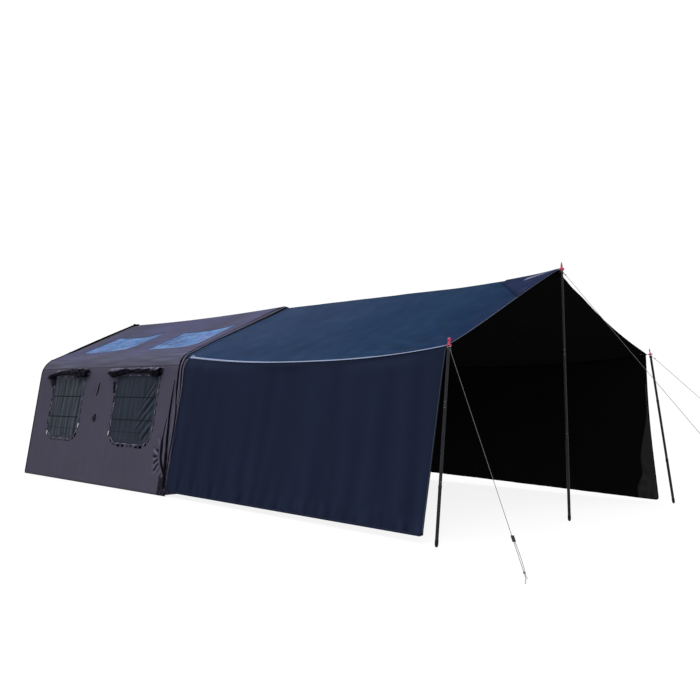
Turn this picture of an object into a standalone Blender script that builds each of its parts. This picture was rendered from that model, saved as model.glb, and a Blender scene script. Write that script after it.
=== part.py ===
"""Family tent with rounded eaves and a long front canopy on three poles.

Metres, +Z up, ground at z = 0. The ridge runs along Y, the open end of the canopy faces -Y,
and the origin is the centre of the tent's groundsheet.
"""

import bpy
import bmesh
from math import atan2, cos, hypot, pi, radians, sin, tan
from mathutils import Matrix, Vector

# Main tent
TENT_LENGTH = 3.78
GROUND_HALF_WIDTH = 1.80
EAVE_HALF_WIDTH = 1.535
EAVE_HEIGHT = 1.59
RIDGE_HEIGHT = 2.27
EAVE_RADIUS = 0.29
EAVE_STEPS = 8
SEAM_STEP = 2

# Cloth and clearances
CLOTH = 0.004
GAP = 0.0003

# Windows in the side walls and the rear wall, measured up the wall from the ground
WINDOW_CENTRE = 0.945
WINDOW_WIDTH = 0.98
WINDOW_LOW = 0.54
WINDOW_HIGH = 1.41
WINDOW_CORNER = 0.14
WINDOW_TOP_CORNER = 0.03
FLAP_ROLL_RADIUS = 0.046
FLAP_ROLL_LENGTH = 1.30
FLAP_ROLL_TOP = 1.50
ROLL_SIDES = 12

# Skylights, measured up the roof slope from the eave corner
SKYLIGHT_CENTRE = 0.90
SKYLIGHT_WIDTH = 1.15
SKYLIGHT_LOW = 0.47
SKYLIGHT_HIGH = 1.13
SKYLIGHT_CORNER = 0.06

# Doorway in the front wall
DOOR_HALF_WIDTH = 0.72
DOOR_LOW = 0.06
DOOR_HIGH = 1.75
DOOR_CORNER = 0.25
DOOR_SILL_CORNER = 0.04
DOOR_ROLL_RADIUS = 0.05
DOOR_ROLL_LENGTH = 1.36
DOOR_ROLL_RISE = 0.01

# Air beams
ARCH_RADIUS = 0.07
BEAM_RADIUS = 0.045
ARCH_APEX_BEND = 0.30
RIDGE_BEAM_DROP = 0.015

# Joining strip and canopy
STRIP_WIDTH = 0.115
CANOPY_LENGTH = 4.14
CANOPY_RIDGE_FRONT = 2.375
CANOPY_EAVE_STEP = 5
CANOPY_EAVE_HALF_FRONT = 1.655
CANOPY_EAVE_FRONT = 1.59
CANOPY_FOOT_HALF_FRONT = 1.867
CANOPY_FOOT_SHIFT = -0.07
CANOPY_HEM = 0.05
CANOPY_BULGE_FADE = 2.5
RIDGE_LIFT = 0.030
RIDGE_RISE_POWER = 9
EAVE_SAG = 0.092
FRONT_EDGE_SAG = 0.05
FRONT_EDGE_BOW = 0.03
WALL_EDGE_PULL = 0.035
WALL_SETBACK = 0.05
CANOPY_ROWS = 14
SLOPE_STEPS = 7
WALL_STEPS = 8
GROMMET_INSET = 0.014
GROMMET_SIDES = 12

# Poles, with their feet across and ahead of the canopy's front, and their joints up the pole
POLE_RADIUS_LOW = 0.0138
POLE_RADIUS_MID = 0.0130
POLE_RADIUS_TOP = 0.0122
POLE_FEET_ACROSS = {"left": -1.967, "centre": -0.055, "right": 1.820}
POLE_FEET_AHEAD = {"left": 0.125, "centre": 0.065, "right": 0.125}
POLE_JOINTS = {"left": (0.30, 0.70), "centre": (0.333, 0.667), "right": (0.30, 0.70)}
FOOT_TIP_RADIUS = 0.006
FOOT_TIP_HEIGHT = 0.012
JOINT_RING = 0.012
JOINT_RING_RISE = 0.0015
POLE_TOP_ROUND = 0.003
SPIKE_RADIUS = 0.005
SPIKE_TIP = 0.006

# Caps on the spikes: a flange, a neck, and a knob on the pole at the left
CAP_CLEARANCE = 0.75
CAP_FLANGE_RADIUS = 0.025
CAP_FLANGE = 0.006
CAP_NECK_LOW_RADIUS = 0.016
CAP_NECK_TOP_RADIUS = 0.0115
CAP_NECK_HEIGHT = 0.045
CAP_KNOB_RADIUS = 0.0145
CAP_HEIGHT = 0.072
KNOBBED_POLE = "left"

# Guy ropes, with their reach across and ahead from the pole's cap, and pegs
ROPE_RADIUS = 0.003
ROPE_REACH = {"left": (-0.87, -1.386), "centre": (0.0, -2.05), "right": (0.87, -1.386)}
PEG_RADIUS = 0.004
PEG_HEIGHT = 0.055
PEG_LEAN = 0.22
PEG_NECK_SHARE = 0.72
PEG_HOOK = ((0.010, 0.004), (0.020, -0.004), (0.024, -0.016))

TENT_HALF = TENT_LENGTH / 2
STRIP_BACK = -TENT_HALF - GAP
STRIP_FRONT = STRIP_BACK - STRIP_WIDTH
CANOPY_BACK = STRIP_FRONT - GAP
CANOPY_FRONT = CANOPY_BACK - CANOPY_LENGTH
WALL_LEAN = atan2(GROUND_HALF_WIDTH - EAVE_HALF_WIDTH, EAVE_HEIGHT)
ROOF_SLOPE = atan2(RIDGE_HEIGHT - EAVE_HEIGHT, EAVE_HALF_WIDTH)
EAVE_TURN = pi / 2 - WALL_LEAN - ROOF_SLOPE
EAVE_TANGENT = EAVE_RADIUS * tan(EAVE_TURN / 2)
WALL_FOOT_LIFT = CLOTH * sin(WALL_LEAN)
CUT_DEPTH = 0.1


def clear_scene():
    """Remove everything that the start-up file brings."""
    for thing in list(bpy.data.objects):
        bpy.data.objects.remove(thing)


def make_collection(name):
    """A new collection, linked to the scene."""
    collection = bpy.data.collections.new(name)
    bpy.context.scene.collection.children.link(collection)
    return collection


def make_material(name, colour, roughness, metallic=0.0, alpha=1.0):
    """A Principled material with one colour."""
    material = bpy.data.materials.new(name)
    material.use_nodes = True
    shader = material.node_tree.nodes["Principled BSDF"]
    shader.inputs["Base Color"].default_value = (*colour, 1.0)
    shader.inputs["Roughness"].default_value = roughness
    shader.inputs["Metallic"].default_value = metallic
    shader.inputs["Alpha"].default_value = alpha
    material.diffuse_color = (*colour, alpha)
    return material


def add_object(name, data, material, collection):
    """Link a new object with one material."""
    thing = bpy.data.objects.new(name, data)
    collection.objects.link(thing)
    if material:
        data.materials.append(material)
    return thing


def smooth(mesh, angle=35):
    """Shade a mesh smooth, with its corners kept sharp."""
    mesh.shade_smooth()
    mesh.set_sharp_from_angle(angle=radians(angle))


# Cross-sections


def eave_arc(offset=0.0):
    """Points round the left eave, from the wall to the roof, moved inwards by offset."""
    corner = Vector((-EAVE_HALF_WIDTH, 0, EAVE_HEIGHT))
    wall_up = Vector((sin(WALL_LEAN), 0, cos(WALL_LEAN)))
    wall_in = Vector((cos(WALL_LEAN), 0, -sin(WALL_LEAN)))
    centre = corner - wall_up * EAVE_TANGENT + wall_in * EAVE_RADIUS
    points = []
    for step in range(EAVE_STEPS + 1):
        angle = EAVE_TURN * step / EAVE_STEPS
        out = -wall_in * cos(angle) + wall_up * sin(angle)
        points.append(centre + out * (EAVE_RADIUS - offset))
    return points


def apex(offset=0.0):
    """The ridge point of the section, moved inwards by offset."""
    return Vector((0, 0, RIDGE_HEIGHT - offset / cos(ROOF_SLOPE)))


def wall_foot(offset=0.0, height=0.0):
    """The left wall's outer point at a height, moved inwards by offset."""
    x = -GROUND_HALF_WIDTH + height * tan(WALL_LEAN) + offset / cos(WALL_LEAN)
    return Vector((x, 0, height))


def along_path(points, fraction):
    """The point at a fraction of a polyline's length."""
    lengths = [(b - a).length for a, b in zip(points, points[1:])]
    target = sum(lengths) * fraction
    for a, b, length in zip(points, points[1:], lengths):
        if target <= length:
            return a.lerp(b, target / length)
        target -= length
    return points[-1].copy()


def mirrored(point):
    """The same point on the other side of the ridge."""
    return Vector((-point.x, point.y, point.z))


# Sheets


def sheet_object(name, rows, material, collection, offset=-1.0):
    """A cloth made of rows of points, given its thickness with Solidify."""
    mesh = bpy.data.meshes.new(name)
    columns = len(rows[0])
    points = [point for row in rows for point in row]
    faces = []
    for row in range(len(rows) - 1):
        for column in range(columns - 1):
            first = row * columns + column
            faces.append((first, first + 1, first + columns + 1, first + columns))
    mesh.from_pydata([tuple(point) for point in points], [], faces)
    smooth(mesh)
    sheet = add_object(name, mesh, material, collection)
    solid = sheet.modifiers.new("cloth", "SOLIDIFY")
    solid.thickness = CLOTH
    solid.offset = offset
    solid.use_even_offset = True
    return sheet


def straight_sheet(name, section, y_back, y_front, material, collection, flip=False):
    """A sheet with the same section from its back to its front."""
    back = [Vector((p.x, y_back, p.z)) for p in section]
    front = [Vector((p.x, y_front, p.z)) for p in section]
    rows = [front, back] if flip else [back, front]
    return sheet_object(name, rows, material, collection)


def rounded_outline(half_width, low, high, corner, steps=5, low_corner=None):
    """A rectangle with rounded corners, as points in a plane, anticlockwise."""
    low_corner = corner if low_corner is None else low_corner
    centres = (
        (half_width - low_corner, low + low_corner, low_corner, -90),
        (half_width - corner, high - corner, corner, 0),
        (-half_width + corner, high - corner, corner, 90),
        (-half_width + low_corner, low + low_corner, low_corner, 180),
    )
    points = []
    for x, y, radius, start in centres:
        if radius < 1e-6:
            points.append((x, y))
            continue
        for step in range(steps + 1):
            angle = radians(start + 90 * step / steps)
            points.append((x + radius * cos(angle), y + radius * sin(angle)))
    return points


def outline_mesh(name, points, thickness):
    """A plate of a flat outline, extruded evenly about its plane."""
    curve = bpy.data.curves.new(name, "CURVE")
    curve.dimensions = "2D"
    curve.fill_mode = "BOTH"
    curve.extrude = thickness / 2
    spline = curve.splines.new("POLY")
    spline.points.add(len(points) - 1)
    for point, (x, y) in zip(spline.points, points):
        point.co = (x, y, 0, 1)
    spline.use_cyclic_u = True
    holder = bpy.data.objects.new(name, curve)
    bpy.context.scene.collection.objects.link(holder)
    bpy.context.view_layer.update()
    depsgraph = bpy.context.evaluated_depsgraph_get()
    mesh = bpy.data.meshes.new_from_object(holder.evaluated_get(depsgraph))
    bpy.data.objects.remove(holder)
    bpy.data.curves.remove(curve)
    work = bmesh.new()
    work.from_mesh(mesh)
    bmesh.ops.remove_doubles(work, verts=work.verts, dist=0.00001)
    bmesh.ops.recalc_face_normals(work, faces=work.faces)
    work.to_mesh(mesh)
    work.free()
    mesh.name = name
    return mesh


def plate(name, points, thickness, frame, material, collection):
    """A plate of a flat outline, placed by its frame."""
    mesh = outline_mesh(name, points, thickness)
    mesh.materials.clear()
    smooth(mesh)
    thing = add_object(name, mesh, material, collection)
    thing.matrix_world = frame
    return thing


def plane_frame(origin, across, upward):
    """A frame whose X runs across a panel, Y up it and Z out of it."""
    across = across.normalized()
    upward = upward.normalized()
    outward = across.cross(upward)
    columns = Matrix((across, upward, outward)).transposed()
    return Matrix.Translation(origin) @ columns.to_4x4()


def cut(target, name, points, depth, frame, cutters):
    """Cut a rounded opening through a sheet with a hidden plate."""
    cutter = plate(name, points, depth, frame, None, cutters)
    cutter.hide_render = True
    cutter.display_type = "WIRE"
    boolean = target.modifiers.new(name, "BOOLEAN")
    boolean.operation = "DIFFERENCE"
    boolean.solver = "EXACT"
    boolean.object = cutter


# Round pieces


def turned(name, profile, material, collection, steps=16):
    """A solid turned about its own Z from a profile that runs from top to bottom."""
    mesh = bpy.data.meshes.new(name)
    edges = [(i, i + 1) for i in range(len(profile) - 1)]
    if profile[0][0] > 0:
        edges.append((len(profile) - 1, 0))
    mesh.from_pydata([(radius, 0, height) for radius, height in profile], edges, [])
    thing = add_object(name, mesh, material, collection)
    screw = thing.modifiers.new("turn", "SCREW")
    screw.steps = steps
    screw.render_steps = steps
    screw.use_merge_vertices = True
    screw.merge_threshold = 0.0001
    screw.use_smooth_shade = True
    return thing


def tube(name, points, radius, material, collection, resolution=3):
    """A capped round tube along a route of points."""
    curve = bpy.data.curves.new(name, "CURVE")
    curve.dimensions = "3D"
    curve.bevel_depth = radius
    curve.bevel_resolution = resolution
    curve.use_fill_caps = True
    spline = curve.splines.new("POLY")
    spline.points.add(len(points) - 1)
    for target, point in zip(spline.points, points):
        target.co = (*point, 1)
    spline.use_smooth = True
    return add_object(name, curve, material, collection)


def bend(before, corner, after, radius, steps):
    """Points of an arc that rounds a corner of a route."""
    back = (before - corner).normalized()
    ahead = (after - corner).normalized()
    half = back.angle(ahead) / 2
    reach = radius / tan(half)
    centre = corner + (back + ahead).normalized() * (radius / sin(half))
    start = corner + back * reach - centre
    end = corner + ahead * reach - centre
    return [centre + start.slerp(end, step / steps) * radius for step in range(steps + 1)]


def roll(name, length, radius, centre, along, outward, material, collection):
    """A rolled-up flap: a bar with flat sides, narrowed at its ends, one side to the wall."""
    mesh = bpy.data.meshes.new(name)
    work = bmesh.new()
    turn = Matrix.Rotation(pi / ROLL_SIDES, 4, "Z")
    bmesh.ops.create_cone(
        work,
        cap_ends=True,
        segments=ROLL_SIDES,
        radius1=radius,
        radius2=radius,
        depth=length,
        matrix=turn,
    )
    rims = [edge for edge in work.edges if abs(edge.verts[0].co.z - edge.verts[1].co.z) < 1e-6]
    bmesh.ops.bevel(work, geom=rims, offset=radius * 0.35, segments=2, profile=0.5, affect="EDGES")
    work.to_mesh(mesh)
    work.free()
    smooth(mesh, 50)
    thing = add_object(name, mesh, material, collection)
    upward = along.cross(outward)
    columns = Matrix((outward, upward, along)).transposed()
    thing.matrix_world = Matrix.Translation(centre) @ columns.to_4x4()
    return thing


def roll_seat(radius):
    """How far a roll's centre stands from the wall it lies against."""
    return radius * cos(pi / ROLL_SIDES) + GAP


# Main tent


def side_frame(side, y):
    """The frame of a side wall's plane at a place along it; side is -1 for left, 1 for right."""
    origin = Vector((side * GROUND_HALF_WIDTH, y, 0))
    upward = Vector((-side * sin(WALL_LEAN), 0, cos(WALL_LEAN)))
    return plane_frame(origin, Vector((0, side, 0)), upward)


def roof_frame(side, y):
    """The frame of a roof slope's plane, its Y measured from the eave corner."""
    origin = Vector((side * EAVE_HALF_WIDTH, y, EAVE_HEIGHT))
    upward = Vector((-side * cos(ROOF_SLOPE), 0, sin(ROOF_SLOPE)))
    return plane_frame(origin, Vector((0, side, 0)), upward)


def window_points(margin=0.0):
    """A window's outline, square at the top and round at its lower corners."""
    return rounded_outline(
        WINDOW_WIDTH / 2 - margin,
        WINDOW_LOW + margin,
        WINDOW_HIGH - margin,
        WINDOW_TOP_CORNER - margin,
        low_corner=WINDOW_CORNER - margin,
    )


def skylight_points(margin=0.0):
    """A skylight's outline."""
    return rounded_outline(
        SKYLIGHT_WIDTH / 2 - margin,
        SKYLIGHT_LOW + margin,
        SKYLIGHT_HIGH - margin,
        SKYLIGHT_CORNER - margin,
        steps=3,
    )


def inset(frame, depth):
    """The same frame, moved inwards along its own Z."""
    return frame @ Matrix.Translation((0, 0, -depth))


def build_side(side, name, looks, parts, cutters):
    """A side wall with its two windows, their mesh and their rolled flaps."""
    section = [wall_foot(0, WALL_FOOT_LIFT)] + eave_arc()[: SEAM_STEP + 1]
    if side > 0:
        section = [mirrored(point) for point in section]
    wall = straight_sheet(f"wall_{name}", section, TENT_HALF, -TENT_HALF, looks["tent_wall"], parts, side < 0)
    for place, end in ((WINDOW_CENTRE, "rear"), (-WINDOW_CENTRE, "front")):
        frame = side_frame(side, place)
        cut(wall, f"cut_window_{name}_{end}", window_points(), CUT_DEPTH, frame, cutters)
        plate(
            f"window_mesh_{name}_{end}",
            window_points(GAP),
            CLOTH,
            inset(frame, CLOTH / 2),
            looks["mesh"],
            parts,
        )
        outward = frame.to_3x3() @ Vector((0, 0, 1))
        centre = frame @ Vector((0, FLAP_ROLL_TOP - FLAP_ROLL_RADIUS, roll_seat(FLAP_ROLL_RADIUS)))
        roll(
            f"flap_roll_{name}_{end}",
            FLAP_ROLL_LENGTH,
            FLAP_ROLL_RADIUS,
            centre,
            Vector((0, 1, 0)),
            outward,
            looks["tent_wall"],
            parts,
        )


def build_roof(side, name, looks, parts, cutters):
    """A roof slope with its rounded eave and its two skylights."""
    arc = eave_arc()
    seam = GAP + CLOTH * sin(EAVE_TURN / EAVE_STEPS)
    start = arc[SEAM_STEP] + (arc[SEAM_STEP + 1] - arc[SEAM_STEP]).normalized() * seam
    mitre = CLOTH * sin(ROOF_SLOPE) + GAP / 2
    top = apex() - Vector((mitre, 0, mitre * tan(ROOF_SLOPE)))
    section = [start] + arc[SEAM_STEP + 1 :] + [top]
    if side > 0:
        section = [mirrored(point) for point in section]
    roof = straight_sheet(f"roof_{name}", section, TENT_HALF, -TENT_HALF, looks["tent_roof"], parts, side < 0)
    for place, end in ((SKYLIGHT_CENTRE, "rear"), (-SKYLIGHT_CENTRE, "front")):
        frame = roof_frame(side, place)
        cut(roof, f"cut_skylight_{name}_{end}", skylight_points(), CUT_DEPTH, frame, cutters)
        plate(
            f"skylight_{name}_{end}",
            skylight_points(GAP),
            CLOTH,
            inset(frame, CLOTH / 2),
            looks["skylight"],
            parts,
        )


def gable_outline():
    """The end walls' outline, just inside the cloth of walls and roof."""
    offset = CLOTH + GAP
    left = [wall_foot(offset, 0)] + eave_arc(offset) + [apex(offset)]
    right = [mirrored(point) for point in reversed(left[:-1])]
    return [(point.x, point.z) for point in left + right]


def build_ends(looks, parts, cutters):
    """The front wall with its doorway and the rear wall with its window."""
    up = Vector((0, 0, 1))
    front = plane_frame(Vector((0, -TENT_HALF, 0)), Vector((1, 0, 0)), up)
    rear = plane_frame(Vector((0, TENT_HALF, 0)), Vector((-1, 0, 0)), up)
    wall = plate("wall_front", gable_outline(), CLOTH, inset(front, CLOTH / 2), looks["tent_wall"], parts)
    door = rounded_outline(DOOR_HALF_WIDTH, DOOR_LOW, DOOR_HIGH, DOOR_CORNER, low_corner=DOOR_SILL_CORNER)
    cut(wall, "cut_doorway", door, CUT_DEPTH, front, cutters)
    back = plate("wall_rear", gable_outline(), CLOTH, inset(rear, CLOTH / 2), looks["tent_wall"], parts)
    cut(back, "cut_window_rear", window_points(), CUT_DEPTH, rear, cutters)
    plate("window_mesh_rear", window_points(GAP), CLOTH, inset(rear, CLOTH / 2), looks["mesh"], parts)
    door_roll_height = DOOR_HIGH + DOOR_ROLL_RISE + DOOR_ROLL_RADIUS
    rolls = (
        ("flap_roll_rear", rear, FLAP_ROLL_TOP - FLAP_ROLL_RADIUS, FLAP_ROLL_RADIUS, FLAP_ROLL_LENGTH),
        ("door_roll", front, door_roll_height, DOOR_ROLL_RADIUS, DOOR_ROLL_LENGTH),
    )
    for name, frame, height, radius, length in rolls:
        outward = frame.to_3x3() @ Vector((0, 0, 1))
        centre = frame @ Vector((0, height, roll_seat(radius)))
        along = frame.to_3x3() @ Vector((1, 0, 0))
        roll(name, length, radius, centre, along, outward, looks["tent_wall"], parts)


def build_groundsheet(looks, parts):
    """The floor cloth, between the four walls."""
    half_width = GROUND_HALF_WIDTH - (CLOTH + GAP) / cos(WALL_LEAN) - CLOTH * tan(WALL_LEAN)
    half_length = TENT_HALF - CLOTH - GAP
    outline = [
        (half_width, -half_length),
        (half_width, half_length),
        (-half_width, half_length),
        (-half_width, -half_length),
    ]
    frame = Matrix.Translation((0, 0, CLOTH / 2))
    plate("groundsheet", outline, CLOTH, frame, looks["groundsheet"], parts)


def arch_route(y):
    """The centre line of an air arch, foot to foot."""
    depth = CLOTH + 2 * GAP + ARCH_RADIUS
    foot = wall_foot(depth, CLOTH + GAP + ARCH_RADIUS * sin(WALL_LEAN))
    arc = eave_arc(depth)
    top = apex(depth)
    crown = bend(arc[-1], top, mirrored(arc[-1]), ARCH_APEX_BEND, 4)
    left = [foot] + arc
    right = [mirrored(point) for point in reversed(left)]
    return [Vector((point.x, y, point.z)) for point in left + crown + right]


def build_air_frame(looks, parts):
    """Two arches with a ridge beam and two eave beams between them."""
    arch_y = TENT_HALF - CLOTH - GAP - ARCH_RADIUS
    for name, side in (("rear", 1), ("front", -1)):
        tube(f"air_arch_{name}", arch_route(side * arch_y), ARCH_RADIUS, looks["air_beam"], parts)
    reach = arch_y - ARCH_RADIUS - GAP
    crown = [point.z for point in arch_route(0)]
    ridge = Vector((0, 0, max(crown) + ARCH_RADIUS - BEAM_RADIUS - RIDGE_BEAM_DROP))
    depth = CLOTH + 2 * GAP + BEAM_RADIUS
    left = eave_arc(depth)[EAVE_STEPS // 2]
    for name, centre in (("ridge", ridge), ("eave_left", left), ("eave_right", mirrored(left))):
        ends = [centre + Vector((0, side * reach, 0)) for side in (1, -1)]
        tube(f"air_beam_{name}", ends, BEAM_RADIUS, looks["air_beam"], parts)


def build_joining_strip(looks, parts):
    """The arch of cloth that zips the canopy to the tent."""
    left = [wall_foot(0, WALL_FOOT_LIFT)] + eave_arc() + [apex()]
    section = left + [mirrored(point) for point in reversed(left[:-1])]
    straight_sheet("joining_strip", section, STRIP_BACK, STRIP_FRONT, looks["strip"], parts, True)


# Canopy


def blend(value):
    """Zero at the tent, one at the canopy's front, smooth between."""
    return value * value * (3 - 2 * value)


def bulge_left(t):
    """How much of the tent's rounded eave is left in the canopy at a place along it."""
    return 1 - blend(min(1, t * CANOPY_BULGE_FADE))


def canopy_eave(t):
    """The left eave point of the canopy, t from 0 at the tent to 1 at the front."""
    back = eave_arc()[CANOPY_EAVE_STEP]
    sag = EAVE_SAG * 4 * t * (1 - t)
    x = back.x * (1 - t) - CANOPY_EAVE_HALF_FRONT * t
    z = back.z * (1 - t) + CANOPY_EAVE_FRONT * t - sag
    return Vector((x, CANOPY_BACK - CANOPY_LENGTH * t, z))


def canopy_ridge(t):
    """The ridge point: nearly level, then a rise towards the front pole."""
    rise = CANOPY_RIDGE_FRONT - RIDGE_HEIGHT - RIDGE_LIFT
    height = RIDGE_HEIGHT + RIDGE_LIFT * t + rise * t**RIDGE_RISE_POWER
    return Vector((0, CANOPY_BACK - CANOPY_LENGTH * t, height))


def canopy_slope_row(t):
    """Points from the left eave to the ridge at one place along the canopy."""
    eave = canopy_eave(t)
    ridge = canopy_ridge(t)
    rounded = eave_arc()[CANOPY_EAVE_STEP:] + [apex()]
    row = []
    for step in range(SLOPE_STEPS + 1):
        s = step / SLOPE_STEPS
        middle = 4 * s * (1 - s)
        straight = eave.lerp(ridge, s)
        straight.z -= FRONT_EDGE_SAG * middle * blend(t)
        straight.y += FRONT_EDGE_BOW * middle * t**RIDGE_RISE_POWER
        bulge = along_path(rounded, s) - rounded[0].lerp(rounded[-1], s)
        row.append(straight + bulge * bulge_left(t))
    return row


def build_canopy_roof(looks, parts, cutters, poles):
    """One cloth over the ridge, with a grommet hole for each pole's spike."""
    rows = []
    for index in range(CANOPY_ROWS + 1):
        left = canopy_slope_row(index / CANOPY_ROWS)
        rows.append(left + [mirrored(point) for point in reversed(left[:-1])])
    roof = sheet_object("canopy_roof", list(reversed(rows)), looks["canopy_roof"], parts)
    for name, (foot, top) in poles.items():
        angles = [2 * pi * side / GROMMET_SIDES for side in range(GROMMET_SIDES)]
        radius = SPIKE_RADIUS + 2 * GAP
        hole = [(radius * cos(angle), radius * sin(angle)) for angle in angles]
        direction = (top - foot).normalized()
        across = Vector((1, 0, 0))
        forward = direction.cross(across).normalized()
        frame = plane_frame(top, forward.cross(direction), forward)
        cut(roof, f"cut_grommet_{name}", hole, CUT_DEPTH, frame, cutters)


def canopy_wall_row(t, side):
    """Points from the hem of a side wall up to the canopy's eave."""
    eave = canopy_eave(t)
    drop = CLOTH + 2 * GAP
    top = Vector((eave.x, eave.y, eave.z - drop))
    back = [wall_foot(0, CANOPY_HEM)] + eave_arc()[: CANOPY_EAVE_STEP + 1]
    back[-1] = back[-1] - Vector((0, 0, drop))
    foot_front = CANOPY_FOOT_HALF_FRONT + side * CANOPY_FOOT_SHIFT
    foot = Vector((back[0].x * (1 - t) - foot_front * t, eave.y, CANOPY_HEM))
    row = []
    for step in range(WALL_STEPS + 1):
        s = step / WALL_STEPS
        straight = foot.lerp(top, s)
        straight.x += WALL_EDGE_PULL * 4 * s * (1 - s) * blend(t)
        bulge = along_path(back, s) - back[0].lerp(back[-1], s)
        row.append(straight + bulge * bulge_left(t))
    if side > 0:
        row = [mirrored(point) for point in row]
    return row


def build_canopy_walls(looks, parts):
    """The hanging side walls."""
    for name, side in (("left", -1), ("right", 1)):
        reach = 1 - WALL_SETBACK / CANOPY_LENGTH
        rows = [canopy_wall_row(reach * index / CANOPY_ROWS, side) for index in range(CANOPY_ROWS + 1)]
        if side < 0:
            rows.reverse()
        sheet_object(f"canopy_wall_{name}", rows, looks["canopy_wall"], parts)


# Poles, ropes and pegs


def roof_point(side, inset_across, inset_back):
    """A point on the canopy roof's outer face near its front edge."""
    t = 1 - inset_back / CANOPY_LENGTH
    row = canopy_slope_row(t)
    if side == 0:
        return row[-1]
    share = inset_across / (row[-1] - row[0]).length
    point = along_path(row, share)
    return point if side < 0 else mirrored(point)


def pole_places():
    """Foot and top of each pole; the top is where its spike meets the cloth's outer face."""
    places = {}
    for name, side in (("left", -1), ("centre", 0), ("right", 1)):
        foot = Vector((POLE_FEET_ACROSS[name], CANOPY_FRONT - POLE_FEET_AHEAD[name], 0))
        places[name] = (foot, roof_point(side, GROMMET_INSET, GROMMET_INSET))
    return places


def pole_matrix(foot, top):
    """A frame at the pole's foot with its Z along the pole."""
    return Matrix.Translation(foot) @ (top - foot).to_track_quat("Z", "Y").to_matrix().to_4x4()


def pole_profiles(name, length, tilt):
    """The profiles of a pole's three sections, the upper one with its spike."""
    shoulder = length - CAP_FLANGE_RADIUS * CAP_CLEARANCE
    cap_low = length + CAP_FLANGE_RADIUS * CAP_CLEARANCE
    spike_top = cap_low + (CAP_NECK_HEIGHT if name == KNOBBED_POLE else CAP_HEIGHT)
    lift = FOOT_TIP_RADIUS * tan(tilt)
    first, second = [shoulder * share for share in POLE_JOINTS[name]]
    ring_low = POLE_RADIUS_LOW + JOINT_RING_RISE
    ring_mid = POLE_RADIUS_MID + JOINT_RING_RISE
    return {
        "lower": [
            (0, first),
            (ring_low, first),
            (ring_low, first - JOINT_RING),
            (POLE_RADIUS_LOW, first - JOINT_RING),
            (POLE_RADIUS_LOW, lift + FOOT_TIP_HEIGHT),
            (FOOT_TIP_RADIUS, lift),
            (0, lift),
        ],
        "middle": [
            (0, second),
            (ring_mid, second),
            (ring_mid, second - JOINT_RING),
            (POLE_RADIUS_MID, second - JOINT_RING),
            (POLE_RADIUS_MID, first + GAP),
            (0, first + GAP),
        ],
        "upper": [
            (0, spike_top),
            (SPIKE_RADIUS / 2, spike_top - SPIKE_TIP / 6),
            (SPIKE_RADIUS, spike_top - SPIKE_TIP),
            (SPIKE_RADIUS, shoulder),
            (POLE_RADIUS_TOP, shoulder - POLE_TOP_ROUND),
            (POLE_RADIUS_TOP, second + GAP),
            (0, second + GAP),
        ],
    }


def cap_profile(name, low):
    """The profile of a cap: open over the spike's tip, or closed by a knob."""
    hole = SPIKE_RADIUS + GAP
    flange_top = low + CAP_FLANGE
    neck_top = low + CAP_NECK_HEIGHT
    knob_top = low + CAP_HEIGHT
    skirt = [
        (CAP_NECK_LOW_RADIUS, flange_top),
        (CAP_FLANGE_RADIUS, flange_top),
        (CAP_FLANGE_RADIUS, low),
        (hole, low),
    ]
    if name != KNOBBED_POLE:
        return [(hole, neck_top), (CAP_NECK_TOP_RADIUS, neck_top)] + skirt
    knob = [
        (0, knob_top),
        (CAP_KNOB_RADIUS * 0.6, knob_top - CAP_KNOB_RADIUS * 0.2),
        (CAP_KNOB_RADIUS, knob_top - CAP_KNOB_RADIUS),
        (CAP_NECK_TOP_RADIUS, neck_top),
    ]
    return knob + skirt + [(hole, neck_top + GAP), (0, neck_top + GAP)]


def build_pole(name, foot, top, looks, parts):
    """Three sections and a red cap; gives the middle of the cap's flange and the pole's direction."""
    axis = top - foot
    tilt = atan2(hypot(axis.x, axis.y), axis.z)
    for part, profile in pole_profiles(name, axis.length, tilt).items():
        section = turned(f"pole_{name}_{part}", profile, looks["pole"], parts)
        section.matrix_world = pole_matrix(foot, top)
    low = axis.length + CAP_FLANGE_RADIUS * CAP_CLEARANCE
    piece = turned(f"pole_cap_{name}", cap_profile(name, low), looks["cap"], parts)
    piece.matrix_world = pole_matrix(foot, top)
    direction = axis.normalized()
    return foot + direction * (low + CAP_FLANGE / 2), direction


def build_rope_and_peg(name, knot, pole_direction, looks, parts):
    """A taut guy rope from the rim of a pole's cap down to its peg."""
    across, ahead = ROPE_REACH[name]
    stake = Vector((knot.x + across, knot.y + ahead, 0))
    outward = Vector((across, ahead, 0)).normalized()
    up = Vector((0, 0, 1))
    lean = (outward * PEG_LEAN + up).normalized()
    neck = stake + lean * (PEG_HEIGHT * PEG_NECK_SHARE)
    rim = (outward - pole_direction * outward.dot(pole_direction)).normalized()
    direction = (neck - knot - rim * CAP_FLANGE_RADIUS).normalized()
    rope_reach = ROPE_RADIUS * (1 - direction.dot(rim) ** 2) ** 0.5
    start = knot + rim * (CAP_FLANGE_RADIUS + rope_reach + GAP)
    end = neck - direction * (PEG_RADIUS + ROPE_RADIUS + GAP)
    tube(f"guy_rope_{name}", [start, end], ROPE_RADIUS, looks["rope"], parts, 2)
    top = stake + lean * PEG_HEIGHT
    hook = [top + outward * out + up * rise for out, rise in PEG_HOOK]
    foot = stake + lean * (PEG_RADIUS * PEG_LEAN)
    tube(f"peg_{name}", [foot, neck, top] + hook, PEG_RADIUS, looks["peg"], parts, 2)


def build_poles(looks, parts, places):
    """Every pole with its cap, its rope and its peg."""
    for name, (foot, top) in places.items():
        knot, direction = build_pole(name, foot, top, looks, parts)
        build_rope_and_peg(name, knot, direction, looks, parts)


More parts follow.
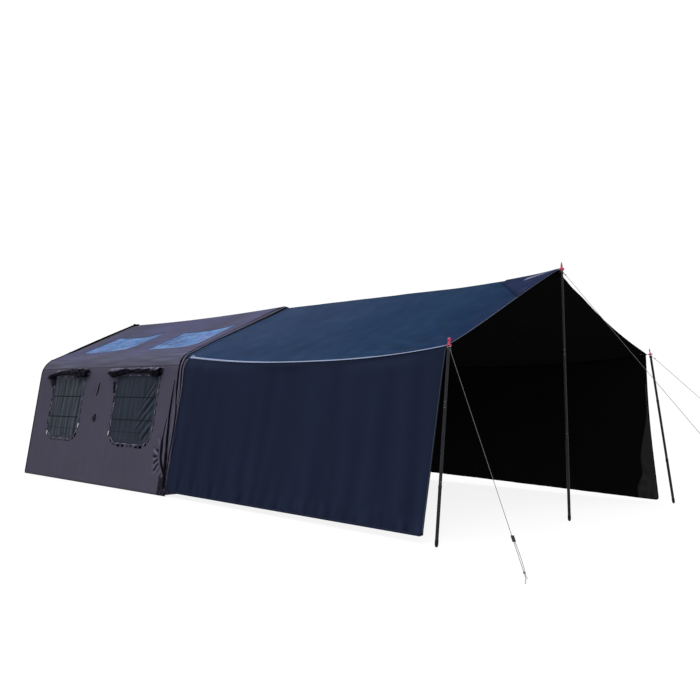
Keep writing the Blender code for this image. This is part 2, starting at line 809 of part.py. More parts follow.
def make_looks():
    """The materials, one for each kind of piece."""
    return {
        "tent_wall": make_material("tent_wall", (0.063, 0.060, 0.087), 0.75),
        "tent_roof": make_material("tent_roof", (0.104, 0.107, 0.168), 0.70),
        "mesh": make_material("window_mesh", (0.045, 0.050, 0.063), 0.85),
        "skylight": make_material("skylight", (0.10, 0.24, 0.52), 0.15, alpha=0.6),
        "strip": make_material("joining_strip", (0.020, 0.022, 0.041), 0.70),
        "groundsheet": make_material("groundsheet", (0.035, 0.036, 0.042), 0.80),
        "air_beam": make_material("air_beam", (0.040, 0.042, 0.052), 0.55),
        "canopy_roof": make_material("canopy_roof", (0.030, 0.050, 0.120), 0.70),
        "canopy_wall": make_material("canopy_wall", (0.013, 0.018, 0.037), 0.75),
        "pole": make_material("pole", (0.010, 0.010, 0.012), 0.35, 0.6),
        "cap": make_material("pole_cap", (0.45, 0.02, 0.03), 0.35),
        "rope": make_material("guy_rope", (0.55, 0.57, 0.60), 0.80),
        "peg": make_material("peg", (0.45, 0.45, 0.46), 0.35, 1.0),
    }


def main():
    """Build the whole tent."""
    clear_scene()
    parts = make_collection("family_tent")
    cutters = make_collection("cutters")
    looks = make_looks()
    build_groundsheet(looks, parts)
    for side, name in ((-1, "left"), (1, "right")):
        build_side(side, name, looks, parts, cutters)
        build_roof(side, name, looks, parts, cutters)
    build_ends(looks, parts, cutters)
    build_air_frame(looks, parts)
    build_joining_strip(looks, parts)
    places = pole_places()
    build_canopy_roof(looks, parts, cutters, places)
    build_canopy_walls(looks, parts)
    build_poles(looks, parts, places)


main()
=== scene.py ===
"""Looks of the family tent and its canopy: cloth, windows, rolls, zips, poles and ropes.

Metres, in the frame's own axes: the ridge runs along Y, the canopy opens to -Y, the ground is z = 0.
Every cloth is a surface of two coordinates with a relief, and what is sewn on it follows the same surface.
"""

from math import atan2, ceil, cos, hypot, pi, prod, radians, sin, tan

import bpy
import numpy as np
from mathutils import Matrix, Vector, noise


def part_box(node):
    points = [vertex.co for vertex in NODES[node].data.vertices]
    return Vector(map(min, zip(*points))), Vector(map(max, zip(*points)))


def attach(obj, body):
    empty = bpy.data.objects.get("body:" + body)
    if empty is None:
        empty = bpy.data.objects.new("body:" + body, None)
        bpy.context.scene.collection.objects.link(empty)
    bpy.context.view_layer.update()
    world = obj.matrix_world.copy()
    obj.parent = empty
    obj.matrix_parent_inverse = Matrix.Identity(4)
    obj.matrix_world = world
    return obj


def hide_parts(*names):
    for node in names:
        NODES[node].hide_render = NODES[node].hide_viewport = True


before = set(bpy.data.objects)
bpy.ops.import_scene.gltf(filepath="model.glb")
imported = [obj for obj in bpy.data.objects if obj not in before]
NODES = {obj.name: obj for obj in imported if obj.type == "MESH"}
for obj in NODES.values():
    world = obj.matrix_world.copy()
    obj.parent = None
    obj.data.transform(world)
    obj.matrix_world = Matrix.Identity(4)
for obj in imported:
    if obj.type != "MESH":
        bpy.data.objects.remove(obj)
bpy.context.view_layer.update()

# Main tent, as in the frame; an opening's corners are its radii (below, above)
TENT_LENGTH = 3.78
GROUND_HALF_WIDTH = 1.80
EAVE_HALF_WIDTH = 1.535
EAVE_HEIGHT = 1.59
RIDGE_HEIGHT = 2.27
EAVE_RADIUS = 0.29
WINDOW_CENTRE = 0.945
WINDOW_SPANS = {"rear": (0.465, 1.375), "front": (-1.485, -0.470), "middle": (-0.49, 0.49)}
WINDOW_LOW = 0.56
WINDOW_HIGH = 1.41
WINDOW_CORNERS = (0.20, 0.03)
SKYLIGHT_FRONT_LIFT = 0.11
SKYLIGHT_CENTRE = 0.90
SKYLIGHT_WIDTH = 1.15
SKYLIGHT_LOW = 0.47
SKYLIGHT_HIGH = 1.13
SKYLIGHT_CORNERS = (0.06, 0.06)
DOOR_HALF_WIDTH = 0.72
DOOR_LOW = 0.06
DOOR_HIGH = 1.75
DOOR_CORNERS = (0.04, 0.25)
ROLL_LENGTH = 1.30
ROLL_TOP = 1.50
DOOR_ROLL_RADIUS = 0.05
DOOR_ROLL_LENGTH = 1.36
DOOR_ROLL_RISE = 0.01
ARCH_RADIUS = 0.07
BEAM_RADIUS = 0.045
ARCH_APEX_BEND = 0.30
ARCH_GAP = 0.0046

# Canopy, as in the frame; what differs between its left (-1) and right (1) side is given for both
STRIP_WIDTH = 0.115
CANOPY_LENGTH = 4.14
CANOPY_RIDGE_FRONT = 2.375
CANOPY_EAVE_SHARE = 5 / 8
CANOPY_EAVE_FRONT = 1.59
CANOPY_HEM = 0.05
RIDGE_LIFT = 0.037
RIDGE_RISE_POWER = 9
EAVE_SAG = 0.095
EAVE_OVERLAP = 0.003
EAVE_TUCK = 0.003
CANOPY_EAVE_HALF_FRONT = {-1: 1.640, 1: 1.615}
CANOPY_FOOT_HALF_FRONT = {-1: 1.937, 1: 1.797}
HEM_RISE_BACK = {-1: 0.002, 1: 0.070}
HEM_DROP_FRONT = {-1: 0.008, 1: -0.025}
FRONT_EDGE_BOW = 0.065
FRONT_BOW_POWER = 9
FRONT_EDGE_BACK = 0.02
WALL_EDGE_PULL = 0.03
WALL_EDGE_BOW = 0.040
FAR_EDGE_BOW = 0.026
WALL_BOW_POWER = 8
WALL_SETBACK = {-1: 0.035, 1: 0.014}
CANOPY_SLOPE = 1.72
CANOPY_DROP = 1.56

# Cloth
CLOTH = 0.0012
THIN_CLOTH = 0.0008
ROOF_SAG = 0.040
RIDGE_REAR_DROP = -0.024
RIDGE_FRONT_LIFT = 0.022
RIDGE_SAG = 0.026
SEAM_HEIGHT = 1.53
GROUND_GAP = 0.001
WINDOW_HEM = 0.012
RIM_MARGIN = 0.006
MESH_DEPTH = 0.006
ZIP_MARGIN = 0.030
DOOR_RIM_MARGIN = 0.010
DOOR_ZIP_MARGIN = 0.032
WINDOW_UPRIGHT_SHARE = {"rear": 0.66, "front": 0.30, "middle": 0.62}
ROLL_CORE = 0.22
ROLL_DEPTH = 0.042
FLAP_FLAT = (1.30, 0.90)
DOOR_FLAT = (1.36, 1.70)
ROLL_SHIFT = 0.04
TIE_SHARES = (0.08, 0.34, 0.64)
GATHER_FRONT = -2.085
GATHER_LENGTH = 0.265
# The side walls' grid is finer in front of this place and below this height, where their folds are
FINE_WALL_BACK = -1.45
FINE_WALL_TOP = 0.6
# How high a fold stands when its painted shade or painted highlight is strongest
FOLD_DEPTH = 0.006
# A place beyond every cloth
BEYOND = 10.0

# Poles, caps and ropes
CAP_SEATS = {"left": 0.030, "centre": 0.042, "right": 0.027}
POLE_SHIFTS = {"left": (0.010, 0.010), "centre": (0.005, 0.014), "right": (0.008, 0.014)}
POLE_RADII = (0.0138, 0.0130, 0.0122)
SHOULDER_DROP = 0.034
BUTTON_GAP = 0.024
SECTION_GAP = 0.0003
ROPE_RADIUS = 0.002
BENT_ROPE_RADIUS = ROPE_RADIUS * 0.92
ROPE_DROP = 0.013
KNOT_AWAY = 0.044
PEG_KNOT_AWAY = 0.034
ROPE_START_AWAY = 0.040
LOOP_RADIUS = 0.0172
RUNNER_REACH = 0.30

# Camera and light
CAMERA_PLACE = (-7.172, -10.924, 1.248)
CAMERA_YAW = radians(42.798)
CAMERA_PITCH = radians(2.384)
CAMERA_ROLL = radians(-0.10)
CAMERA_LENS = 45.64
SENSOR_WIDTH = 36.0
FLOOR_SHADE = 0.09
FLOOR_GLOW = 0.87
FLOOR_REACH = 150.0
SKY_START = 0.35
SKY_LOW = 1.02
SKY_HIGH = 2.6
LAMP_PLACE = (-7.0, -9.0, 9.0)
LAMP_AIM = (0.0, -2.0, 1.0)
LAMP_ENERGY = 500.0
LAMP_SIZE = 8.0

# What follows from these sizes
TENT_HALF = TENT_LENGTH / 2
CANOPY_BACK = -TENT_HALF - STRIP_WIDTH
CANOPY_FRONT = CANOPY_BACK - CANOPY_LENGTH
ROOF_FRONT = CANOPY_FRONT + FRONT_EDGE_BACK
WALL_LEAN = atan2(GROUND_HALF_WIDTH - EAVE_HALF_WIDTH, EAVE_HEIGHT)
ROOF_SLOPE = atan2(RIDGE_HEIGHT - EAVE_HEIGHT, EAVE_HALF_WIDTH)
EAVE_TURN = pi / 2 - WALL_LEAN - ROOF_SLOPE
EAVE_TANGENT = EAVE_RADIUS * tan(EAVE_TURN / 2)
WALL_RUN = EAVE_HEIGHT / cos(WALL_LEAN) - EAVE_TANGENT
ARC_RUN = EAVE_RADIUS * EAVE_TURN
SLOPE_RUN = hypot(EAVE_HALF_WIDTH, RIDGE_HEIGHT - EAVE_HEIGHT) - EAVE_TANGENT
SECTION_RUN = WALL_RUN + ARC_RUN + SLOPE_RUN
ROOF_PLANE_START = WALL_RUN + ARC_RUN - EAVE_TANGENT
EAVE_START = WALL_RUN + ARC_RUN * CANOPY_EAVE_SHARE
WALL_UP = np.array((sin(WALL_LEAN), cos(WALL_LEAN)))
WALL_IN = np.array((cos(WALL_LEAN), -sin(WALL_LEAN)))
SLOPE_UP = np.array((cos(ROOF_SLOPE), sin(ROOF_SLOPE)))
EAVE_CENTRE = np.array((-GROUND_HALF_WIDTH, 0.0)) + WALL_UP * WALL_RUN + WALL_IN * EAVE_RADIUS
DOOR_BOX = (-DOOR_HALF_WIDTH, DOOR_HALF_WIDTH, DOOR_LOW, DOOR_HIGH)
SIDES = {"left": -1, "right": 1}
POLES = ("left", "centre", "right")


# Materials


def shader_of(material):
    """The material's Principled shader."""
    return material.node_tree.nodes["Principled BSDF"]


def new_material(name, colour, roughness, metallic=0.0, specular=0.5):
    """A Principled material."""
    material = bpy.data.materials.new(name)
    material.use_nodes = True
    shader = shader_of(material)
    shader.inputs["Base Color"].default_value = rgba(colour)
    shader.inputs["Roughness"].default_value = roughness
    shader.inputs["Metallic"].default_value = metallic
    shader.inputs["Specular IOR Level"].default_value = specular
    material.diffuse_color = rgba(colour)
    return material


def rgba(colour):
    """A colour with full alpha."""
    return (*colour, 1.0)


def feed(owner, node, entry, value):
    """Give a node's input a value, or link it to a wire: a node and the name of its output."""
    if isinstance(value, tuple) and isinstance(value[0], bpy.types.Node):
        owner.node_tree.links.new(value[0].outputs[value[1]], node.inputs[entry])
    else:
        node.inputs[entry].default_value = value


def wire_from(owner, kind, output, entries=None, **properties):
    """The wire from a new node in a material or in the world, with its properties and inputs set."""
    node = owner.node_tree.nodes.new(kind)
    for name, value in properties.items():
        setattr(node, name, value)
    for entry, value in (entries or {}).items():
        feed(owner, node, entry, value)
    return node, output


def coordinates(owner, kind, mapping=None):
    """Texture coordinates, through a mapping if one is given."""
    source = wire_from(owner, "ShaderNodeTexCoord", kind)
    if mapping is None:
        return source
    return wire_from(owner, "ShaderNodeMapping", "Vector", {"Vector": source, **mapping})


def coordinate(owner, kind, axis):
    """One axis of the texture coordinates."""
    return wire_from(owner, "ShaderNodeSeparateXYZ", axis, {"Vector": coordinates(owner, kind)})


def computed(owner, operation, *entries):
    """The result of a sum with numbers or wires."""
    return wire_from(owner, "ShaderNodeMath", "Value", dict(enumerate(entries)), operation=operation)


def ranged(owner, source, start, end, low=0.0, high=1.0):
    """A value moved from one range to another."""
    entries = {"Value": source, "From Min": start, "From Max": end, "To Min": low, "To Max": high}
    return wire_from(owner, "ShaderNodeMapRange", "Result", entries)


def noisy(owner, kind, scale, detail=3.0, stretch=None):
    """A noise texture in object or UV coordinates, stretched if asked."""
    source = coordinates(owner, kind, {"Scale": stretch} if stretch else None)
    return wire_from(owner, "ShaderNodeTexNoise", "Fac", {"Vector": source, "Scale": scale, "Detail": detail})


def banded(owner, source, scale, **properties):
    """A wave texture's bands."""
    return wire_from(owner, "ShaderNodeTexWave", "Fac", {"Vector": source, "Scale": scale}, **properties)


# The width of one band of a wave texture at scale 1, and the range that most of a noise lies in
BAND = 2 * pi / 20
MOST_NOISE = (0.3, 0.7)

# The colour sockets of a Mix node, which share their names with its others
FIRST, SECOND, MIXED = 6, 7, 2


def colour_mix(material, first, second, factor, **properties):
    """The mix of two colours."""
    entries = {FIRST: first, SECOND: second, "Factor": factor}
    return wire_from(material, "ShaderNodeMix", MIXED, entries, data_type="RGBA", **properties)


def vary_colour(material, colour, texture, spread, pale=None):
    """Base colour between a darker shade of a colour and a lighter or a given one."""
    dark = rgba(c * (1 - spread) for c in colour)
    light = rgba(pale or [c * (1 + spread) for c in colour])
    tint = colour_mix(material, dark, light, ranged(material, texture, *MOST_NOISE))
    feed(material, shader_of(material), "Base Color", tint)
    return tint


def vary_roughness(material, texture, low, high):
    """Roughness between two values."""
    feed(material, shader_of(material), "Roughness", ranged(material, texture, *MOST_NOISE, low, high))


def add_bump(material, texture, strength, distance, below=None):
    """A bump from a texture, on top of another bump if there is one."""
    entries = {"Strength": strength, "Distance": distance, "Height": texture}
    if below:
        entries["Normal"] = below
    bump = wire_from(material, "ShaderNodeBump", "Normal", entries)
    feed(material, shader_of(material), "Normal", bump)
    return bump


def weave(material, pitch):
    """Crossed threads in UV metres, one bright band a pitch each way."""
    source = coordinates(material, "UV")
    threads = [banded(material, source, BAND / pitch, bands_direction=axis) for axis in ("X", "Y")]
    return computed(material, "MAXIMUM", *threads)


def fabric(name, colour, roughness=0.75, spread=0.08, specular=0.012, crease=0.35, pale=None, drifts=()):
    """Coated woven cloth: patchy colour, threads, soft creases too small to model, and painted shade and
    highlight on its modelled folds.
    """
    material = new_material(name, colour, roughness, specular=specular)
    tint = vary_colour(material, colour, noisy(material, "Object", 1.7, 5.0), spread, pale)
    for drift in drifts:
        tint = drift_colour(material, tint, *drift)
    apply_painted_shade(material, tint)
    vary_roughness(material, noisy(material, "Object", 6.0), roughness - 0.06, roughness + 0.06)
    creases = add_bump(material, noisy(material, "Object", 9.0, 6.0), crease, 0.004)
    add_bump(material, weave(material, 0.0016), 0.25, 0.0003, creases)
    return material


def drift_colour(material, tint, colour, axis, start, end):
    """A colour that drifts to another one along an axis of the object."""
    factor = ranged(material, coordinate(material, "Object", axis), start, end)
    return colour_mix(material, tint, rgba(colour), factor)


def apply_painted_shade(material, tint):
    """Painted shade in the hollows of folds and painted highlight on their crests, by the cloth's own fold
    attribute.
    """
    height = wire_from(material, "ShaderNodeAttribute", "Fac", attribute_name="fold")
    tone = ranged(material, height, -1.0, 1.0, 0.1, 1.9)
    shaded = colour_mix(material, tint, tone, 1.0, blend_type="MULTIPLY")
    feed(material, shader_of(material), "Base Color", shaded)


def laced(name, colour, gap_colour, dash):
    """A dark zip guard that shows in dashes, where cloth folds over it, or piping in pale dashes of painted
    highlight; its UV runs along it.
    """
    material = new_material(name, colour, 0.8, specular=0.01)
    turns = computed(material, "MULTIPLY", coordinate(material, "UV", "Y"), 2 * pi / dash)
    uneven = computed(material, "MULTIPLY_ADD", noisy(material, "UV", 7.0, 1.0), 9.0, turns)
    shown = ranged(material, computed(material, "SINE", uneven), 0.15, 0.55)
    tint = colour_mix(material, rgba(colour), rgba(gap_colour), shown)
    feed(material, shader_of(material), "Base Color", tint)
    add_bump(material, noisy(material, "UV", 500.0), 0.3, 0.0004)
    return material


def moulded(name, colour, roughness, specular=0.4):
    """Moulded plastic with a fine grain and slightly uneven colour."""
    material = new_material(name, colour, roughness, specular=specular)
    vary_colour(material, colour, noisy(material, "Object", 22.0), 0.06)
    vary_roughness(material, noisy(material, "Object", 60.0), roughness - 0.08, roughness + 0.1)
    add_bump(material, noisy(material, "Object", 260.0), 0.15, 0.0002)
    return material


def painted(name, colour):
    """Painted steel tube, its paint rubbed duller in places along it."""
    material = new_material(name, colour, 0.35, specular=0.16)
    rubbed = noisy(material, "Object", 7.0, 6.0)
    vary_colour(material, colour, rubbed, 0.35)
    vary_roughness(material, rubbed, 0.27, 0.57)
    add_bump(material, noisy(material, "Object", 420.0), 0.12, 0.0001)
    return material


def steel(name, colour, roughness):
    """Bare steel with drawn lines and duller patches."""
    material = new_material(name, colour, roughness, metallic=1.0)
    drawn = noisy(material, "Object", 30.0, 4.0, (1.0, 1.0, 0.08))
    vary_colour(material, colour, drawn, 0.12)
    vary_roughness(material, drawn, roughness - 0.1, roughness + 0.15)
    add_bump(material, drawn, 0.1, 0.0002)
    return material


def braided(name, colour):
    """Braided cord: diagonal strands in the tube's own UV."""
    material = new_material(name, colour, 0.8, specular=0.2)
    turns = [{"Rotation": (0, 0, sign * radians(38))} for sign in (1, -1)]
    strands = [banded(material, coordinates(material, "UV", turn), 90.0) for turn in turns]
    braid = computed(material, "MULTIPLY", *strands)
    vary_colour(material, colour, braid, 0.2)
    add_bump(material, braid, 0.6, 0.0006)
    return material


def stitched(name, colour, specular=0.01, shade=1.8):
    """Woven tape with rows of stitches along it, 10 mm apart; its UV runs in metres, across and along."""
    material = new_material(name, colour, 0.8, specular=specular)
    across = computed(material, "MULTIPLY", coordinate(material, "UV", "X"), 2 * pi / 0.010)
    along = computed(material, "MULTIPLY", coordinate(material, "UV", "Y"), 2 * pi / 0.005)
    rows = computed(material, "LESS_THAN", computed(material, "COSINE", across), -0.86)
    dashes = computed(material, "GREATER_THAN", computed(material, "SINE", along), -0.45)
    stitches = computed(material, "MULTIPLY", rows, dashes)
    thread = rgba(min(1, c * shade) for c in colour)
    feed(material, shader_of(material), "Base Color", colour_mix(material, rgba(colour), thread, stitches))
    grain = add_bump(material, noisy(material, "UV", 700.0), 0.3, 0.0003)
    add_bump(material, stitches, 0.5, 0.0006, grain)
    return material


def zip_coil(name, colour):
    """A zip's coil: teeth across it at every 1.6 mm."""
    material = new_material(name, colour, 0.45, specular=0.06)
    teeth = banded(material, coordinates(material, "UV"), BAND / 0.0016, bands_direction="Y")
    vary_colour(material, colour, teeth, 0.35)
    add_bump(material, teeth, 0.8, 0.0008)
    return material


def clear_sheet(name, shades):
    """Soft tinted sheet in shades from deep to pale by where they begin, with a glossy rippled face and
    painted shade and highlight on its ripples.
    """
    material = new_material(name, shades[0][1], 0.25, specular=0.007)
    patches = noisy(material, "Object", 5.0, 7.0, (1.0, 0.55, 1.0))
    tint = wire_from(material, "ShaderNodeValToRGB", "Color", {"Fac": patches})
    stops = tint[0].color_ramp.elements
    for number, (place, colour) in enumerate(shades):
        stop = stops[number] if number < 2 else stops.new(place)
        stop.position = place
        stop.color = rgba(colour)
    apply_painted_shade(material, tint)
    vary_roughness(material, noisy(material, "Object", 12.0), 0.15, 0.38)
    add_bump(material, noisy(material, "Object", 9.0, 5.0, (1.0, 0.35, 1.0)), 0.25, 0.008)
    return material


def mesh_cloth(name, colour, drift):
    """Fine insect mesh: crossed threads with dark holes between them, and painted shade and highlight on its
    folds.
    """
    material = new_material(name, colour, 0.7, specular=0.015)
    threads = weave(material, 0.0022)
    tint = vary_colour(material, colour, threads, 0.12)
    apply_painted_shade(material, drift_colour(material, tint, *drift))
    add_bump(material, threads, 0.4, 0.0004)
    return material


# The skylights' colours, each with the place in their noise where it begins
SKYLIGHT_SHADES = (
    (0.30, (0.010, 0.044, 0.135)),
    (0.45, (0.016, 0.068, 0.190)),
    (0.56, (0.042, 0.108, 0.250)),
    (0.65, (0.050, 0.075, 0.205)),
    (0.74, (0.046, 0.138, 0.190)),
)

LOOKS = {
    "tent_wall": fabric("tent_wall_cloth", (0.0435, 0.041, 0.060), spread=0.05, crease=0.25),
    # The tent roof's colour turns paler and greyer below 1.74 m down to the eave seam: painted light where
    # the roof rounds over the eave
    "tent_roof": fabric(
        "tent_roof_cloth",
        (0.040, 0.0395, 0.066),
        0.68,
        0.06,
        crease=0.2,
        pale=(0.048, 0.049, 0.100),
        drifts=[((0.056, 0.0555, 0.080), "Z", 1.74, 1.52)],
    ),
    "tent_hem": stitched("tent_hem_tape", (0.034, 0.032, 0.045)),
    "tent_binding": fabric("tent_edge_piping", (0.0012, 0.0012, 0.002), 0.8, specular=0.01),
    "inner": fabric("black_coating", (0.0012, 0.0012, 0.0015), 0.85, specular=0.02, crease=0.3),
    "mesh": mesh_cloth("window_mesh_cloth", (0.0165, 0.021, 0.030), ((0.0275, 0.032, 0.042), "Y", -0.3, 0.5)),
    "bar": stitched("window_bar_tape", (0.0075, 0.0105, 0.0150)),
    "dark_tape": stitched("dark_tape", (0.0014, 0.0014, 0.0026), shade=3.0),
    "laced": laced("dashed_zip_guard", (0.0008, 0.0008, 0.0022), (0.046, 0.044, 0.064), 0.11),
    # Window piping in uneven pale dashes: painted highlight where the window's edge catches light
    "piping_highlight_dashes": laced("piping_highlight_dashes", (0.042, 0.040, 0.058), (0.105, 0.105, 0.145), 0.23),
    "zip": zip_coil("zip_coil", (0.0015, 0.0015, 0.0025)),
    "skylight": clear_sheet("skylight_sheet", SKYLIGHT_SHADES),
    # The canopy roof's colour darkens towards its front, and more in its last metre: painted shade
    "canopy_roof": fabric(
        "canopy_roof_cloth",
        (0.0092, 0.0205, 0.0510),
        0.62,
        0.10,
        specular=0.008,
        crease=0.05,
        pale=(0.0118, 0.0255, 0.0600),
        drifts=[((0.0006, 0.0136, 0.0380), "Y", -2.6, -6.2), ((0.0006, 0.0076, 0.0325), "Y", -5.25, -6.20)],
    ),
    "canopy_wall": fabric("canopy_wall_cloth", (0.0073, 0.0105, 0.0232), 0.72, spread=0.04, crease=0.08),
    "canopy_webbing": stitched("canopy_webbing", (0.15, 0.175, 0.255), specular=0.02),
    "canopy_hem": stitched("canopy_hem", (0.0085, 0.0115, 0.024)),
    "canopy_edge": stitched("canopy_edge", (0.022, 0.029, 0.040)),
    # Pale tape along the canopy roof's front hem: painted highlight on that edge
    "rake_highlight_tape": stitched("rake_highlight_tape", (0.050, 0.053, 0.072)),
    "peak_patch": fabric("peak_patch_cloth", (0.0040, 0.0092, 0.0325), 0.62, specular=0.008, crease=0.05),
    # Grey for the hem turned in on the canopy walls' inner side, partly painted light along the lit edge
    "inner_hem": fabric("inner_hem_cloth", (0.012, 0.012, 0.012), 0.8, crease=0.4),
    "strip": fabric("joining_strip_cloth", (0.046, 0.044, 0.064), crease=0.4),
    # Near-black cloth for the gather at the strip's foot: painted shade of the gathered folds
    "gather": fabric("gather_painted_shade_cloth", (0.0085, 0.0075, 0.0130), 0.7, 0.5, specular=0.03, crease=0.9),
    "groundsheet": fabric("groundsheet_cloth", (0.030, 0.031, 0.037), 0.7),
    "air_beam": fabric("air_beam_sleeve", (0.040, 0.042, 0.052), 0.6),
    "pole": painted("pole_paint", (0.0045, 0.0050, 0.0068)),
    "rubber": moulded("pole_foot_rubber", (0.006, 0.006, 0.006), 0.7, specular=0.1),
    "cap": moulded("cap_plastic", (0.25, 0.004, 0.036), 0.22),
    "spike": steel("spike_steel", (0.10, 0.10, 0.10), 0.45),
    "rope": braided("guy_rope_cord", (0.07, 0.07, 0.074)),
    "peg": steel("peg_steel", (0.45, 0.45, 0.46), 0.35),
    "metal": steel("slider_steel", (0.60, 0.60, 0.63), 0.25),
    "roll": fabric("rolled_black_cloth", (0.0036, 0.0034, 0.0085), 0.5, 0.2, specular=0.012, crease=0.85),
    # Pale cloth: over the rolls its paleness is partly painted highlight, beside the slit it is a painted
    # highlight on the lip, and it is the strip's piping
    "light_strip": fabric("light_strip_cloth", (0.064, 0.062, 0.088), spread=0.15, crease=0.6),
    "ridge_patch": stitched("ridge_patch", (0.095, 0.100, 0.160)),
    "guy_ring": moulded("guy_ring_plastic", (0.0035, 0.0035, 0.0075), 0.5, specular=0.08),
    "toggle": moulded("toggle_plastic", (0.004, 0.004, 0.005), 0.4, specular=0.15),
}


# Arrays and surfaces


def painted_shade_of_folds(height, reach=3):
    """How far each point of a grid of heights stands above or below the cloth round it, from -1 to 1: the
    painted shade of hollows and painted highlight of crests.
    """
    smooth = height
    for axis in (0, 1):
        margin = [(0, 0), (0, 0)]
        margin[axis] = (reach, reach)
        padded = np.pad(smooth, margin, mode="edge")
        count = height.shape[axis]
        smooth = sum(np.take(padded, range(step, step + count), axis) for step in range(2 * reach + 1))
        smooth = smooth / (2 * reach + 1)
    return np.clip((height - smooth) / FOLD_DEPTH, -1, 1)


def store_painted_shade(mesh, values):
    """Write the fold attribute: the painted shade and painted highlight that the cloth's colour follows."""
    mesh.attributes.new("fold", "FLOAT", "POINT").data.foreach_set("value", np.asarray(values, np.float32))


def smooth_step(value):
    """Zero to one, smooth at both ends."""
    value = np.clip(value, 0.0, 1.0)
    return value * value * (3 - 2 * value)


def unit(vectors):
    """Vectors of length one, along the last axis."""
    return vectors / np.maximum(np.linalg.norm(vectors, axis=-1, keepdims=True), 1e-12)


def swung(first, second, angle):
    """The direction at an angle from one axis towards another."""
    return first * np.cos(angle) + second * np.sin(angle)


def wave_field(a, b, scale, seed, stretch=(1.0, 1.0)):
    """Soft noise from -1 to 1 at points in metres; scale is the size of a wave."""
    flat = np.stack([np.ravel(a) * stretch[0], np.ravel(b) * stretch[1]], axis=1) / scale
    values = [noise.noise(Vector((x, y, seed * 7.31))) for x, y in flat]
    return np.reshape(values, np.shape(a))


def crease_field(a, b, scale, seed, stretch=(1.0, 1.0)):
    """Sharp-edged creases from 0 to 1 between soft fields."""
    return (1 - np.abs(wave_field(a, b, scale, seed, stretch)) * 2.2).clip(0, 1) ** 3


def fold(a, b, start, end, width, height):
    """A fold along a line, highest in its middle; a negative height is a groove."""
    run = np.subtract(end, start)
    length = hypot(*run)
    along = ((a - start[0]) * run[0] + (b - start[1]) * run[1]) / length**2
    across = ((a - start[0]) * run[1] - (b - start[1]) * run[0]) / length
    ends = np.sin(pi * np.clip(along, 0, 1)) ** 0.7
    return height * np.exp(-((across / width) ** 2)) * ends


class Surface:
    """The outer face of a cloth: bare gives points from two coordinates, relief how far they stand out."""

    def __init__(self, bare, relief, sign):
        self.bare = bare
        self.relief = relief
        self.sign = sign

    def normal(self, a, b):
        """The outward direction of the bare face."""
        step = 0.002
        along_a = self.bare(a + step, b) - self.bare(a - step, b)
        along_b = self.bare(a, b + step) - self.bare(a, b - step)
        return unit(np.cross(along_a, along_b)) * self.sign

    def at(self, a, b, lift=0.0):
        """Points of the face, with its relief."""
        a, b = np.asarray(a, float), np.asarray(b, float)
        height = self.relief(a, b) + lift
        return self.bare(a, b) + self.normal(a, b) * height[..., None]


def flat_relief(a, b):
    """The relief of a face without one."""
    return np.zeros(np.shape(a))


def rounded_distance(a, b, box, corners):
    """Distance to a rectangle with rounded corners, negative inside; corners are (low, high) radii."""
    a0, a1, b0, b1 = box
    radius = np.where(b < (b0 + b1) / 2, corners[0], corners[1])
    x = np.abs(a - (a0 + a1) / 2) - (a1 - a0) / 2 + radius
    y = np.abs(b - (b0 + b1) / 2) - (b1 - b0) / 2 + radius
    outside = np.hypot(np.maximum(x, 0), np.maximum(y, 0))
    return outside + np.minimum(np.maximum(x, y), 0) - radius


def grown(box, margin):
    """A box made larger all round."""
    return (box[0] - margin, box[1] + margin, box[2] - margin, box[3] + margin)


def box_size(box):
    """A box's width and height."""
    return box[1] - box[0], box[3] - box[2]


def outline(box, corners, margin=0.0, gap=0.02):
    """Points round a rectangle with rounded corners, anticlockwise from its lower right side."""
    a0, a1, b0, b1 = grown(box, margin)
    low, high = corners[0] + margin, corners[1] + margin
    centres = ((a1 - low, b0 + low, low), (a1 - high, b1 - high, high))
    centres += ((a0 + high, b1 - high, high), (a0 + low, b0 + low, low))
    corner_points = []
    for index, (x, y, radius) in enumerate(centres):
        for step in range(7):
            angle = pi / 2 * (index - 1 + step / 6)
            corner_points.append((x + radius * cos(angle), y + radius * sin(angle)))
    corner_points.append(corner_points[0])
    return refine(corner_points, gap)


def refine(points, gap):
    """The same route with points no further apart than gap."""
    result = [tuple(points[0])]
    for first, second in zip(points, points[1:]):
        parts = max(1, ceil(hypot(*np.subtract(second, first)) / gap))
        for part in range(1, parts + 1):
            share = part / parts
            result.append(tuple(np.add(np.multiply(first, 1 - share), np.multiply(second, share))))
    return result


def spaced(start, end, gap=0.03):
    """Evenly spaced values no further apart than gap."""
    return np.linspace(start, end, max(2, ceil(abs(end - start) / gap) + 1))


def spaced_twice(start, change, end, first_gap, second_gap):
    """Evenly spaced values with one gap up to a place and another beyond it."""
    return np.concatenate([spaced(start, change, first_gap), spaced(change, end, second_gap)[1:]])


def box_grid(box, gap_a, gap_b):
    """Evenly spaced values along both sides of a box."""
    return spaced(box[0], box[1], gap_a), spaced(box[2], box[3], gap_b)


def level_route(start, end, height, gap=0.03):
    """A route along a cloth at one height."""
    return [(a, height) for a in spaced(start, end, gap)]


def upright_route(place, low, high, gap=0.03):
    """A route up a cloth at one place."""
    return [(place, b) for b in spaced(low, high, gap)]


def from_rows(rows, places):
    """A table's other columns at places along its first one."""
    columns = np.transpose(rows)
    return [np.interp(places, columns[0], column) for column in columns[1:]]


# Pieces


def add_piece(name, mesh, looks):
    """Link a mesh with its materials; it rides on the root body."""
    thing = bpy.data.objects.new(name, mesh)
    bpy.context.scene.collection.objects.link(thing)
    for look in looks:
        mesh.materials.append(LOOKS[look])
    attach(thing, "root")
    return thing


